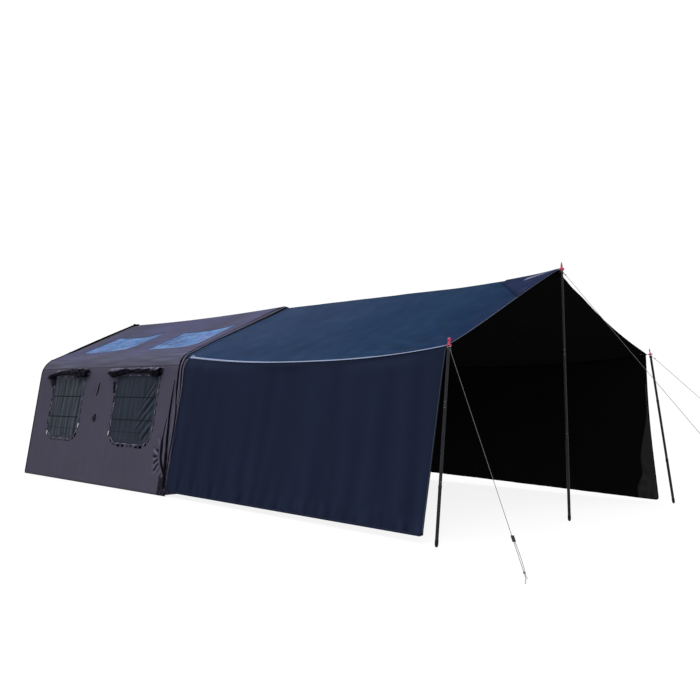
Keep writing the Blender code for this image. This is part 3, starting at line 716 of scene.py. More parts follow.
def mesh_from(name, points, faces, uvs=None, angle=50):
    """A smooth mesh from points and faces, with UVs by point if given."""
    mesh = bpy.data.meshes.new(name)
    mesh.from_pydata([tuple(point) for point in points], [], faces)
    if uvs is not None:
        layer = mesh.uv_layers.new(name="UVMap")
        corner_points = np.empty(len(mesh.loops), int)
        mesh.loops.foreach_get("vertex_index", corner_points)
        layer.data.foreach_set("uv", np.asarray(uvs, np.float32)[corner_points].ravel())
    mesh.shade_smooth()
    mesh.set_sharp_from_angle(angle=radians(angle))
    return mesh


def cloth(name, surface, a_values, b_values, looks, slot, cuts=(), thickness=CLOTH):
    """A sheet of cloth over a surface; it stays where every cut gives a positive distance."""
    a, b = np.meshgrid(a_values, b_values)
    # Painted shade for the relief's hollows and painted highlight for its crests
    shade = painted_shade_of_folds(surface.relief(a, b))
    cell = min(np.min(np.diff(a_values)), np.min(np.diff(b_values)))
    step = 0.0005
    for cut in cuts:
        distance = cut(a, b)
        slope_a = (cut(a + step, b) - distance) / step
        slope_b = (cut(a, b + step) - distance) / step
        near = np.abs(distance) < cell * 0.62
        a = np.where(near, a - distance * slope_a, a)
        b = np.where(near, b - distance * slope_b, b)
    points = surface.at(a, b)
    faces = grid_faces(*a.shape, surface.sign < 0)
    middle_a = a.ravel()[faces].mean(axis=1)
    middle_b = b.ravel()[faces].mean(axis=1)
    keep = np.ones(len(faces), bool)
    for cut in cuts:
        keep &= cut(middle_a, middle_b) > 0
    used, packed = np.unique(faces[keep], return_inverse=True)
    uvs = np.stack([a.ravel(), b.ravel()], axis=1)[used]
    mesh = mesh_from(name, points.reshape(-1, 3)[used], packed.reshape(-1, 4).tolist(), uvs)
    store_painted_shade(mesh, shade.ravel()[used])
    sheet = add_piece(name, mesh, looks)
    thicken(sheet, thickness, len(looks) - 1)
    return sheet


def grid_mesh(name, points, flip, uvs, folds):
    """A mesh from a grid of points, with UVs and the painted shade and highlight of its folds by point."""
    faces = grid_faces(*points.shape[:2], flip)
    mesh = mesh_from(name, points.reshape(-1, 3), faces.tolist(), uvs)
    store_painted_shade(mesh, np.ravel(folds))
    return mesh


def patch_on(name, surface, a, b, look, lift=0.0015):
    """A small sheet sewn over a cloth, from grids of the cloth's coordinates and of its height above it."""
    lift = np.broadcast_to(lift, a.shape)
    uvs = np.stack([a.ravel(), b.ravel()], axis=1)
    # Painted shade for the patch's hollows and painted highlight for its crests
    folds = painted_shade_of_folds(lift + surface.relief(a, b))
    mesh = grid_mesh(name, surface.at(a, b, lift), surface.sign < 0, uvs, folds)
    piece = add_piece(name, mesh, [look])
    thicken(piece, CLOTH, 0)
    return piece


def grid_faces(rows, columns, flip):
    """The faces between a grid's points, turned over if asked."""
    index = np.arange(rows * columns).reshape(rows, columns)
    corner_grids = (index[:-1, :-1], index[:-1, 1:], index[1:, 1:], index[1:, :-1])
    faces = np.stack([grid.ravel() for grid in corner_grids], axis=1)
    return faces[:, ::-1] if flip else faces


def thicken(piece, thickness, inner_look):
    """Give a sheet its thickness behind its face, and its inner side a look of its own."""
    solid = piece.modifiers.new("cloth", "SOLIDIFY")
    solid.thickness = thickness
    solid.offset = -1.0
    solid.material_offset = inner_look


def directions(points, closed):
    """The direction of a route at each of its points."""
    if closed:
        return unit(np.roll(points, -1, axis=0) - np.roll(points, 1, axis=0))
    return unit(np.gradient(points, axis=0))


def ring_faces(count, sides, closed):
    """The faces between rings of points, with caps on an open row of rings."""
    faces = []
    for ring in range(count if closed else count - 1):
        first, second = ring * sides, (ring + 1) % count * sides
        for edge in range(sides):
            after = (edge + 1) % sides
            faces.append((first + edge, first + after, second + after, second + edge))
    if not closed:
        faces.append(tuple(range(sides - 1, -1, -1)))
        faces.append(tuple(range((count - 1) * sides, count * sides)))
    return faces


def ribbon(name, points, normals, width, height, look, closed=False, crown=0.0):
    """A flat tape that lies along a route of points, its own thickness above them."""
    points, normals = np.asarray(points, float), unit(np.asarray(normals, float))
    side = unit(np.cross(directions(points, closed), normals))
    widths = np.broadcast_to(np.asarray(width, float), (len(points),))
    left = ((-0.5, 0.0), (-0.5, 0.6), (-0.42, 1.0))
    profile = (*left, (0.0, 1.0 + crown), *[(-across, up) for across, up in left[::-1]])
    rings = [points + side * (across * widths[:, None]) + normals * (up * height) for across, up in profile]
    verts = np.stack(rings, axis=1).reshape(-1, 3)
    steps = np.linalg.norm(np.diff(points, axis=0), axis=1)
    places = np.concatenate([[0.0], np.cumsum(steps)])
    uvs = [(across * wide, place) for wide, place in zip(widths, places) for across, _ in profile]
    faces = ring_faces(len(points), len(profile), closed)
    return add_piece(name, mesh_from(name, verts, faces, uvs, 40), [look])


# Tapes that are sewn on the cloths, as (look, slot, width, height, lift, crown); some widths vary along them
TAPES = {
    "wall_hem": ("tent_hem", "tent_wall", 0.026, 0.0015, 0.0, 0.0),
    # The slit's dark tape is painted shade in the slit; the pale tape beside it is a painted highlight on its
    # lip
    "port_slit": ("dark_tape", "tent_wall", None, 0.002, 0.0, 0.3),
    "port_edge": ("light_strip", "tent_wall", 0.010, 0.003, 0.0, 0.0),
    "guy_patch": ("dark_tape", "tent_wall", 0.060, 0.0018, 0.0, 0.0),
    "strap_end": ("roll", "tent_wall", None, 0.004, 0.004, 1.2),
    "flap_corner": ("roll", "tent_wall", None, 0.004, 0.006, 0.8),
    "window_bar": ("bar", "window_mesh", None, 0.0012, 0.0, 0.0),
    # The window's piping, its pale dashes painted highlight
    "window_binding": ("piping_highlight_dashes", "tent_wall", 0.011, 0.0025, 0.0, 0.0),
    "window_zip_tape": ("laced", "tent_wall", None, 0.0012, 0.0, 0.0),
    "window_zip": ("laced", "tent_wall", 0.005, 0.0024, 0.0012, 0.5),
    "slider": ("metal", "tent_wall", 0.013, 0.007, 0.002, 0.4),
    "slider_pull": ("metal", "tent_wall", 0.013, 0.003, 0.006, 0.0),
    "eave_seam": ("tent_hem", "tent_roof", 0.016, 0.0012, 0.0, 0.0),
    "skylight_edge": ("tent_hem", "tent_roof", 0.016, 0.0012, 0.0, 0.0),
    "door_binding": ("tent_hem", "tent_wall", 0.024, 0.0018, 0.0, 0.0),
    "door_zip_tape": ("dark_tape", "tent_wall", 0.030, 0.0012, 0.0, 0.0),
    "door_zip": ("zip", "tent_wall", 0.009, 0.0026, 0.0012, 0.5),
    # Dark zips of the strip, partly real zip and partly painted shade of their recesses
    "strip_wall_zip": ("dark_tape", "joining_strip", None, 0.004, 0.007, 0.3),
    "strip_middle_zip": ("dark_tape", "joining_strip", None, 0.003, 0.004, 0.3),
    "strip_canopy_zip": ("dark_tape", "joining_strip", None, 0.003, 0.003, 0.3),
    "strip_piping": ("light_strip", "joining_strip", None, 0.004, 0.003, 0.3),
    "strip_canopy_piping": ("light_strip", "joining_strip", None, 0.004, 0.003, 0.3),
    # The painted shadow line along the loose guard's free edge
    "strip_guard_edge": ("dark_tape", "joining_strip", None, 0.004, 0.007, 0.0),
    "eave_webbing": ("canopy_webbing", "canopy_roof", 0.026, 0.002, 0.0, 0.0),
    # The canopy roof's front hem, pale as a painted highlight on the edge
    "front_hem": ("rake_highlight_tape", "canopy_roof", 0.014, 0.0016, 0.0, 0.0),
    "canopy_hem": ("canopy_hem", "canopy_wall", 0.022, 0.0016, 0.0, 0.0),
    "canopy_edge": ("canopy_edge", "canopy_wall", 0.009, 0.0016, 0.0, 0.0),
}


def tape_on(name, surface, route, width=None, closed=False, kind=None):
    """A tape sewn on a cloth along a route in the cloth's coordinates; its name begins with its kind."""
    kind = kind or max((key for key in TAPES if name.startswith(key)), key=len)
    look, slot, even_width, height, lift, crown = TAPES[kind]
    a, b = np.array(route[:-1] if closed else route, float).T
    points = surface.at(a, b, lift)
    step = 0.004
    along_a = surface.at(a + step, b) - surface.at(a - step, b)
    along_b = surface.at(a, b + step) - surface.at(a, b - step)
    normals = np.cross(along_a, along_b) * surface.sign
    width = even_width if width is None else width
    return ribbon(name, points, normals, width, height, look, closed, crown)


def circle(sides):
    """The angles of the sides of a round."""
    return [2 * pi * side / sides for side in range(sides)]


def tube(name, points, radii, look, sides=16, closed=False):
    """A round tube along a route, with a radius at each point and rounded UVs in metres."""
    points = np.asarray(points, float)
    radii = np.broadcast_to(np.asarray(radii, float), (len(points),))
    run = directions(points, closed)
    start = np.cross(run[0], (0.0, 0.0, 1.0))
    if np.linalg.norm(start) < 0.1:
        start = np.cross(run[0], (1.0, 0.0, 0.0))
    across = unit(start)
    verts, uvs = [], []
    place = 0.0
    for index, (point, direction, radius) in enumerate(zip(points, run, radii)):
        across = unit(across - direction * np.dot(across, direction))
        up = np.cross(direction, across)
        place += np.linalg.norm(point - points[index - 1]) if index else 0.0
        for angle in circle(sides):
            verts.append(point + swung(across, up, angle) * radius)
            uvs.append((angle * radius, place))
    faces = ring_faces(len(points), sides, closed)
    return add_piece(name, mesh_from(name, verts, faces, uvs, 40), [look])


def turned(name, axis, profile, look, sides=40):
    """A solid turned about an axis (origin, direction) from (radius, height) pairs, from bottom to top."""
    origin, direction = axis
    across = unit(np.cross(direction, (0.0, 1.0, 0.0)))
    up = np.cross(direction, across)
    verts, uvs, rings = [], [], []
    for radius, height in profile:
        angles = circle(sides) if radius > 1e-6 else [0.0]
        rings.append(list(range(len(verts), len(verts) + len(angles))))
        for angle in angles:
            verts.append(origin + direction * height + swung(across, up, angle) * radius)
            uvs.append((angle * radius, height))
    faces = []
    for low, high in zip(rings, rings[1:]):
        for side in range(sides):
            after = (side + 1) % sides
            ring = [low[side % len(low)], low[after % len(low)]]
            ring += [high[after % len(high)], high[side % len(high)]]
            faces.append([index for place, index in enumerate(ring) if index not in ring[:place]])
    return add_piece(name, mesh_from(name, verts, faces, uvs, 32), [look])


# Main tent


def section(s):
    """The tent's left half seen from the end: x and z at s metres up from the foot of the wall."""
    s = np.asarray(s, float)[..., None]
    angle = np.clip((s - WALL_RUN) / EAVE_RADIUS, 0, EAVE_TURN)
    arc = EAVE_CENTRE + swung(-WALL_IN, WALL_UP, angle) * EAVE_RADIUS
    below = np.minimum(s - WALL_RUN, 0)
    above = np.maximum(s - WALL_RUN - ARC_RUN, 0)
    return arc + WALL_UP * below + SLOPE_UP * above


def slope_share(s):
    """Zero at the foot of the roof's slope, one at the ridge."""
    return np.clip((s - WALL_RUN - ARC_RUN) / SLOPE_RUN, 0, 1)


def ridge_offset(y):
    """How far the cloth's ridge stands above the frame's at a place along the tent."""
    k = np.clip((TENT_HALF - y) / TENT_LENGTH, 0, 1)
    return RIDGE_REAR_DROP * (1 - k) + RIDGE_FRONT_LIFT * k - RIDGE_SAG * 4 * k * (1 - k)


def between_arches(y):
    """Zero at the arches, one between them."""
    return smooth_step((TENT_HALF - np.abs(y)) / 0.7)


def tent_face(side):
    """Points of the tent's outer face from y and s, on the left or the right."""

    def place(y, s):
        flat = section(s)
        q = slope_share(s)
        drop = ROOF_SAG * 4 * q * (1 - q) * between_arches(y)
        z = flat[..., 1] + ridge_offset(y) * q - drop
        return np.stack([-side * flat[..., 0], y + 0 * z, z], axis=-1)

    return place


def window_box(end):
    """A window's sides in the wall's coordinates."""
    return (*WINDOW_SPANS[end], WINDOW_LOW, WINDOW_HIGH)


def skylight_box(centre):
    """A skylight's sides in the roof's coordinates, before its front is drawn up the slope."""
    return (
        centre - SKYLIGHT_WIDTH / 2,
        centre + SKYLIGHT_WIDTH / 2,
        ROOF_PLANE_START + SKYLIGHT_LOW,
        ROOF_PLANE_START + SKYLIGHT_HIGH,
    )


def front_lift(y, box):
    """How far a skylight is drawn up the slope towards its front end."""
    middle = (box[0] + box[1]) / 2
    return SKYLIGHT_FRONT_LIFT * np.clip((middle - y) / (box[1] - middle), 0, 1.1) ** 2


def skylight_distance(y, s, box):
    """Distance to a skylight's edge, negative inside."""
    return rounded_distance(y, s - front_lift(y, box), box, SKYLIGHT_CORNERS)


# Folds of the side walls as (start, end, width, height), each place (y, up the wall)
WALL_FOLDS = (
    ((-1.600, 0.525), (-1.712, 0.466), 0.019, 0.016),
    ((-1.668, 0.530), (-1.724, 0.490), 0.012, -0.020),
    ((-1.602, 0.445), (-1.708, 0.438), 0.013, -0.012),
    ((-1.630, 0.391), (-1.703, 0.420), 0.012, 0.012),
    ((-1.728, 0.420), (-1.641, 0.350), 0.013, -0.026),
    ((-1.742, 0.390), (-1.660, 0.320), 0.011, 0.014),
    ((-1.758, 0.368), (-1.655, 0.262), 0.014, -0.028),
    ((-1.790, 0.345), (-1.722, 0.286), 0.012, 0.010),
    ((-1.690, 0.665), (-1.726, 0.555), 0.014, 0.010),
    ((-1.850, 0.260), (-1.790, 0.180), 0.016, -0.010),
    ((0.024, 1.36), (0.070, 1.12), 0.014, 0.006),
)


def wall_relief(seed):
    """Stretched wall cloth: soft waves, faint tension lines, and the folds by the strip."""

    def relief(y, s):
        height = 0.0045 * wave_field(y, s, 0.55, seed)
        height += 0.0010 * wave_field(y, s, 0.16, seed + 1, (1.0, 0.8))
        height += 0.0004 * crease_field(y, s, 0.30, seed + 2, (1.0, 0.35))
        for start, end, width, tall in WALL_FOLDS:
            height += fold(y, s, start, end, width, tall)
        near_strip = smooth_step((-1.52 - y) / 0.30) * smooth_step((0.60 - s) / 0.4)
        height += 0.0025 * near_strip * wave_field(y, s, 0.07, seed + 3, (1.0, 0.7))
        return height * smooth_step(s / 0.05) * smooth_step((SEAM_HEIGHT + 0.02 - s) / 0.05)

    return relief


def roof_relief(seed):
    """Roof cloth: waves along the eave band and round the skylights, drawn in at the rear piping."""

    def relief(y, s):
        height = 0.0055 * wave_field(y, s, 0.60, seed)
        height += 0.0018 * wave_field(y, s, 0.16, seed + 1, (0.35, 1.0))
        eave = smooth_step((s - SEAM_HEIGHT) / 0.05) * smooth_step((2.15 - s) / 0.25)
        height += 0.0035 * eave * wave_field(y, s, 0.06, seed + 2, (0.12, 1.0))
        height += 0.0012 * crease_field(y, s, 0.45, seed + 3, (0.30, 1.0))
        edge = smooth_step((s - SEAM_HEIGHT) / 0.02) * smooth_step((SECTION_RUN - s) / 0.03)
        drawn_in = 0.012 * smooth_step((y - TENT_HALF + 0.14) / 0.10) * smooth_step((s - 1.9) / 0.4)
        return height * edge * smooth_step((TENT_HALF - np.abs(y)) / 0.06) - drawn_in

    return relief


def side_wall(side):
    """The outer face of a side wall."""
    return Surface(tent_face(side), wall_relief(3 + 5 * side), side)


# The black piping on the tent's rear edge, as (place up the section, radius)
PIPING_SIZES = (
    ((0.0, 0.006), (1.5, 0.007), (1.9, 0.009), (2.3, 0.018))
    + ((2.7, 0.022), (3.2, 0.022), (3.3, 0.012))
)


def rear_piping(name, side, low, high):
    """Black piping along the tent's rear edge, thickest towards the ridge."""
    s = spaced(low, high)
    radii = from_rows(PIPING_SIZES, s)[0]
    places = np.full(len(s), TENT_HALF + 0.002) - radii
    bare = Surface(tent_face(side), flat_relief, side)
    return tube(name, bare.at(places, s, radii * 0.30), radii, "tent_binding", 12)


def build_tent_side(name, side):
    """A side wall with its mesh windows, their bars, zips and rolled flaps."""
    surface = side_wall(side)
    boxes = [window_box(end) for end in ("rear", "front")]
    cuts = [lambda a, b, box=box: rounded_distance(a, b, box, WINDOW_CORNERS) for box in boxes]
    y_values = spaced_twice(-TENT_HALF, FINE_WALL_BACK, TENT_HALF, 0.009, 0.020)
    s_values = spaced_twice(GROUND_GAP, FINE_WALL_TOP, SEAM_HEIGHT, 0.012, 0.020)
    wall = cloth(f"wall_cloth_{name}", surface, y_values, s_values, ["tent_wall", "inner"], "tent_wall", cuts)
    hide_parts(f"wall_{name}")
    pieces = [
        tape_on(f"wall_hem_{name}", surface, level_route(-TENT_HALF + 0.01, TENT_HALF - 0.01, 0.014)),
        rear_piping(f"wall_rear_binding_{name}", side, 0.02, SEAM_HEIGHT),
    ]
    for end in ("rear", "front"):
        build_window(f"{name}_{end}", surface, end)
    build_wall_fittings(name, surface)


# Between the windows, as places (y, up the wall): a port's slit, a patch and ring for a guy rope, the end
# of a strap, and a flap's loose corner at the rear
PORT_SLIT = ((0.008, 1.335), (0.018, 1.27), (0.030, 1.20), (0.046, 1.155))
GUY_RING = (0.004, 0.850)
STRAP = ((-0.385, 1.335), (-0.40, 1.30), (-0.405, 1.26), (-0.425, 1.20))
FLAP_CORNER = ((1.445, 1.40), (1.440, 1.36), (1.425, 1.32), (1.415, 1.285))


def build_wall_fittings(name, wall):
    """The small fittings on a side wall."""
    slit = refine(PORT_SLIT, 0.02)
    widths = np.interp(np.arange(len(slit)), (0, 6, 11), (0.014, 0.036, 0.018))
    # Painted shade in the slit, and a painted highlight on its lip beside it
    tape_on(f"port_slit_{name}", wall, slit, widths)
    tape_on(f"port_edge_{name}", wall, refine(np.add(PORT_SLIT, (0.018, 0)), 0.02))
    turns = np.array(circle(24))
    y, s = GUY_RING
    ring = wall.at(y + 0.030 * np.cos(turns), s + 0.032 * np.sin(turns), 0.006)
    tube(f"guy_ring_{name}", ring, 0.010, "guy_ring", 12, closed=True)
    tape_on(f"guy_patch_{name}", wall, upright_route(y, s + 0.018, s + 0.055, 0.01))
    strap = refine(STRAP, 0.01)
    tape_on(f"strap_end_{name}", wall, strap, 0.046 + 0.014 * np.sin(np.arange(len(strap)) * 0.9))
    corner = refine(FLAP_CORNER, 0.01)
    tape_on(f"flap_corner_{name}", wall, corner, np.linspace(0.17, 0.10, len(corner)))


# Where a window's zip guard shows dark, as (share of the way to the outer end, height, reach, width)
DARK_ZIP_PLACES = {
    "rear": (
        (1.0, 1.10, 0.16, 0.028),
        (1.0, 0.90, 0.16, 0.030),
        (1.0, 0.72, 0.10, 0.020),
        (-1.0, 0.64, 0.14, 0.036),
    ),
    "front": (
        (1.0, 1.12, 0.12, 0.026),
        (1.0, 0.60, 0.12, 0.026),
        (0.3, 0.53, 0.14, 0.034),
        (-0.5, 0.53, 0.20, 0.036),
    ),
    "middle": ((1.0, 0.90, 0.20, 0.024), (-1.0, 0.62, 0.16, 0.030), (0.0, 0.53, 0.20, 0.030)),
}

# The mesh's bars as (height up the wall, width), and the zips' sliders as (side, height up the wall)
WINDOW_BARS = ((0.70, 0.005), (0.855, 0.015), (1.14, 0.015))
WINDOW_SLIDERS = {"rear": ((1, 0.63), (-1, 0.76)), "front": ((1, 0.69),), "middle": ((1, 0.66),)}

# Folds of the mesh that the flap pulls on as (start, end, height), from the window's front edge
PULLED_MESH_FOLDS = (
    ((0.03, 1.37), (0.36, 1.02), 0.012),
    ((0.03, 1.28), (0.40, 0.90), 0.013),
    ((0.03, 1.20), (0.28, 0.94), -0.008),
    ((0.03, 1.12), (0.42, 0.76), 0.012),
    ((0.03, 1.00), (0.36, 0.70), 0.010),
    ((0.03, 0.86), (0.26, 0.64), 0.014),
    ((0.05, 0.78), (0.22, 0.60), -0.010),
)


def zip_widths(route, end, box):
    """How wide the dark zip guard shows at each point of its route round a window."""
    middle, half = (box[0] + box[1]) / 2, (box[1] - box[0]) / 2 + ZIP_MARGIN
    route = np.array(route)
    widths = np.full(len(route), 0.009)
    for share, height, reach, wide in DARK_ZIP_PLACES[end]:
        away = np.hypot(route[:, 0] - middle - share * half, route[:, 1] - height)
        widths = np.maximum(widths, wide * smooth_step(1.5 - away / reach))
    return widths * (1 + 0.25 * np.sin(np.arange(len(route)) * 1.9))


def mesh_relief(wall, end, box):
    """The mesh hangs behind the wall in upright folds, slanting where the flap pulls it."""
    centre = (box[0] + box[1]) / 2

    def relief(a, b):
        inside = np.clip(-rounded_distance(a, b, box, WINDOW_CORNERS) / 0.05, 0, 1)
        upright = wave_field(a, b, 0.060, centre * 3 + 11, (1.0, 0.10))
        height = (0.004 if end == "front" else 0.013) * upright
        height += 0.008 * wave_field(a, b, 0.30, centre + 5)
        if end == "front":
            for start, stop, tall in PULLED_MESH_FOLDS:
                height = height + fold(a - box[0], b, start, stop, 0.013, tall)
        return height * inside - MESH_DEPTH + wall.relief(a, b)

    return relief


def build_window(name, wall, end):
    """Slack mesh with bars behind a window opening, a zip round its sides and foot, and the rolled flap."""
    box = window_box(end)
    centre = (box[0] + box[1]) / 2
    surface = Surface(wall.bare, mesh_relief(wall, end, box), wall.sign)
    panel_box = grown(box, WINDOW_HEM)
    grid = box_grid(panel_box, 0.013, 0.019)
    panel = cloth(f"window_cloth_{name}", surface, *grid, ["mesh"], "window_mesh", thickness=THIN_CLOTH)
    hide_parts(f"window_mesh_{name}")
    for number, (height, width) in enumerate(WINDOW_BARS):
        route = level_route(box[0] + 0.01, box[1] - 0.01, height, 0.02)
        tape_on(f"window_bar_{name}_{number}", surface, route, width)
    upright = box[0] + (box[1] - box[0]) * WINDOW_UPRIGHT_SHARE[end]
    route = upright_route(upright, box[2] + 0.02, box[3] - 0.03, 0.02)
    tape_on(f"window_bar_{name}_upright", surface, route, 0.008)
    tape_on(f"window_binding_{name}", wall, outline(box, WINDOW_CORNERS, RIM_MARGIN), closed=True)
    route = open_route(outline(box, WINDOW_CORNERS, ZIP_MARGIN), WINDOW_HIGH - 0.01)
    tape_on(f"window_zip_tape_{name}", wall, route, zip_widths(route, end, box))
    tape_on(f"window_zip_{name}", wall, route)
    for number, (share, height) in enumerate(WINDOW_SLIDERS[end]):
        beside = [place for place in route if (place[0] - centre) * share >= 0]
        place = min(beside, key=lambda place: abs(place[1] - height))
        build_slider(f"window_slider_{name}_{number}", wall, place)
    build_flap_roll(name, wall, centre)


def open_route(points, top):
    """The part of a closed outline that lies below a height, from one end to the other."""
    kept = [point[1] < top for point in points[:-1]]
    start = next(i for i in range(len(kept)) if kept[i] and not kept[i - 1])
    turned_points = points[start:-1] + points[:start]
    return [point for point in turned_points if point[1] < top]


def build_slider(name, surface, place):
    """A zip's slider with its pull tab hanging down."""
    y, s = place
    tape_on(name, surface, [(y, s + 0.012), (y, s), (y, s - 0.012)], kind="slider")
    pull = [(y, s - 0.010), (y, s - 0.026), (y + 0.003, s - 0.044)]
    tape_on(f"{name}_pull", surface, pull, kind="slider_pull")


# The middle of each rolled flap, by the side of the wall's middle that its window is on
FLAP_MIDDLES = {1: WINDOW_CENTRE + ROLL_SHIFT, 0: 0.0, -1: -WINDOW_CENTRE + ROLL_SHIFT}

# A roll's size along it, as (share of its length, drop of its top, half its height)
EVEN_ROLL = ((0.0, 0.0, 0.044), (0.15, 0.0, 0.040), (0.5, 0.0, 0.034), (0.8, 0.0, 0.038), (1.0, 0.0, 0.042))
DOOR_ROLL = ((0.0, 0.0, 0.043), (0.3, 0.0, 0.047), (0.6, 0.0, 0.046), (1.0, 0.0, 0.044))
FLAP_ROLLS = {
    "left_rear": (
        (0.0, 0.0, 0.050),
        (0.06, -0.012, 0.064),
        (0.20, -0.012, 0.060),
        (0.30, -0.010, 0.046),
        (0.47, -0.006, 0.036),
        (0.66, 0.010, 0.028),
        (0.76, 0.026, 0.027),
        (0.82, 0.036, 0.040),
        (0.88, 0.046, 0.044),
        (0.94, 0.062, 0.024),
        (1.0, 0.082, 0.010),
    ),
    "left_front": (
        (0.0, 0.006, 0.044),
        (0.05, 0.004, 0.062),
        (0.13, 0.0, 0.058),
        (0.20, 0.0, 0.037),
        (0.55, 0.0, 0.034),
        (0.68, 0.0, 0.036),
        (0.78, 0.0, 0.054),
        (0.90, 0.004, 0.060),
        (0.96, 0.008, 0.040),
        (1.0, 0.010, 0.026),
    ),
}

# The pale cloth over a roll's top, its paleness partly painted highlight, as (share along it, angle in
# degrees where it ends)
EVEN_COVER = (
    ((0.0, 30), (0.10, 0), (0.16, 42), (0.30, 4), (0.36, 46))
    + ((0.50, 10), (0.62, 48), (0.80, 2), (1.0, 26))
)
STRIP_COVERS = {
    "left_rear": (
        ((0.0, 75), (0.04, 45), (0.12, 74), (0.18, 38), (0.26, 84), (0.34, 56), (0.42, 104))
        + ((0.50, 112), (0.56, 74), (0.68, 56), (0.76, 96), (1.0, 126))
    ),
}

# Where the cloth of a roll leaves its outer turn, towards the wall below it, and its points in each turn
END_ANGLE = radians(235)
STEPS_A_TURN = 16


def roll_frame(wall, place, top, sizes, share):
    """A roll's centre at a place, and the vectors to its front and its top."""
    drop, half = from_rows(sizes, share)
    depth = min(half, ROLL_DEPTH)
    height = top - drop - half
    out = wall.normal(place, height)
    up = unit(wall.at(place, top + 0.01) - wall.at(place, top - 0.05))
    return wall.at(place, height) + out * depth * 0.97, out * depth, up * half


def crumpled(place, angle, phase):
    """A rolled cloth's radius at a place and angle, as a share of its even radius."""
    spin = angle + place * 4
    soft = noise.noise(Vector((place * 8, cos(spin) + phase, sin(spin))))
    sharp = abs(noise.noise(Vector((place * 24, cos(spin) * 2.0 + phase, sin(spin) * 2.0))))
    return 1.06 + 0.20 * soft - 0.55 * sharp


def build_roll(name, wall, run, top, sizes, flat, node):
    """A flap rolled up from its foot: a spiral of crumpled cloth with its black face outwards."""
    phase = len(name) * 7 + abs(run[0]) * 10
    along = spaced(run[0], run[1], 0.020)
    shares = np.linspace(0, 1, len(along))
    half = np.mean([np.linalg.norm(roll_frame(wall, a, top, sizes, k)[2]) for a, k in zip(along, shares)])
    turns = flat[1] / (pi * (1 + ROLL_CORE) * (half + min(half, ROLL_DEPTH)) / 2)
    angles = np.linspace(0, 2 * pi * turns, int(turns * STEPS_A_TURN))
    rows, folds = [], []
    for place, share in zip(along, shares):
        centre, out, up = roll_frame(wall, place, top, sizes, share)
        row = []
        for angle in angles:
            layer = angle / angles[-1]
            turn = END_ANGLE + angle - angles[-1]
            size = crumpled(place, turn, phase)
            # Painted shade in the crumples' hollows and painted highlight on their bulges
            folds.append((size - 1) * 5)
            reach = (ROLL_CORE + (1 - ROLL_CORE) * layer) * size
            row.append(centre + swung(out, up, turn) * reach)
        rows.append(row)
    uvs = [(place, angle * 0.03) for place in along for angle in angles]
    mesh = grid_mesh(name, np.array(rows), wall.sign > 0, uvs, np.clip(folds, -1, 1))
    piece = add_piece(name, mesh, ["roll", "tent_wall"])
    thicken(piece, CLOTH, 1)
    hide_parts(node)


def build_roll_strip(name, wall, run, top, sizes):
    """The strip that a flap is sewn to, which laps over the roll's top; its pale colour is partly painted
    highlight.
    """
    reach = 0.80 if name in STRIP_COVERS else 1.0
    along = spaced(run[0] + 0.004, run[0] + (run[1] - run[0]) * reach - 0.004, 0.016)
    shares = np.linspace(0, reach, len(along))
    ends = from_rows(STRIP_COVERS.get(name, EVEN_COVER), shares)[0]
    rows = []
    for place, share, end in zip(along, shares, ends):
        centre, out, up = roll_frame(wall, place, top, sizes, share)
        last = end + 14 * noise.noise(Vector((place * 13, 3.0, 1.0)))
        row = [wall.at(place, top + 0.012, 0.0015)]
        for angle in np.linspace(128, last, 9):
            reach_out = 1.16 + 0.12 * noise.noise(Vector((place * 17, angle * 0.03, 2.0)))
            row.append(centre + swung(out, up, radians(angle)) * reach_out)
        rows.append(row)
    points = np.array(rows)
    uvs = [(place, step * 0.01) for place in along for step in range(points.shape[1])]
    # Paler where the strip stands higher: painted highlight on its top
    folds = painted_shade_of_folds(points[..., 2] - points[..., 2].mean(axis=0))
    mesh = grid_mesh(f"flap_strip_{name}", points, wall.sign < 0, uvs, folds)
    thicken(add_piece(mesh.name, mesh, ["light_strip"]), 0.0015, 0)


def build_flap_roll(name, wall, centre):
    """A window's rolled flap, with the strip that it is sewn to and its ties."""
    middle = FLAP_MIDDLES[np.sign(centre)]
    run = (middle - ROLL_LENGTH / 2, middle + ROLL_LENGTH / 2)
    sizes = FLAP_ROLLS.get(name, EVEN_ROLL)
    build_roll(f"flap_cloth_{name}", wall, run, ROLL_TOP, sizes, FLAP_FLAT, f"flap_roll_{name}")
    build_roll_strip(name, wall, run, ROLL_TOP, sizes)
    build_ties(f"flap_tie_{name}", wall, run, ROLL_TOP, sizes)


def build_ties(name, wall, run, top, sizes):
    """Loops of tape round a roll, sewn above it and each hooked on a toggle below it."""
    for number, share in enumerate(TIE_SHARES):
        place = run[0] + (run[1] - run[0]) * share
        centre, out, up = roll_frame(wall, place, top, sizes, share)
        normals = [swung(out, up, radians(angle)) for angle in np.linspace(118, -118, 15)]
        points = [centre + normal * 1.22 for normal in normals]
        tie = f"{name}_{number}"
        ribbon(tie, points, normals, 0.014, 0.0014, "dark_tape")
        below = centre - out * 0.85 - up * 1.06
        knob = [below - unit(up) * drop for drop in (0.0, 0.006, 0.014, 0.022, 0.026)]
        tube(f"{tie}_toggle", knob, (0.002, 0.0045, 0.0055, 0.0045, 0.002), "toggle", 12)


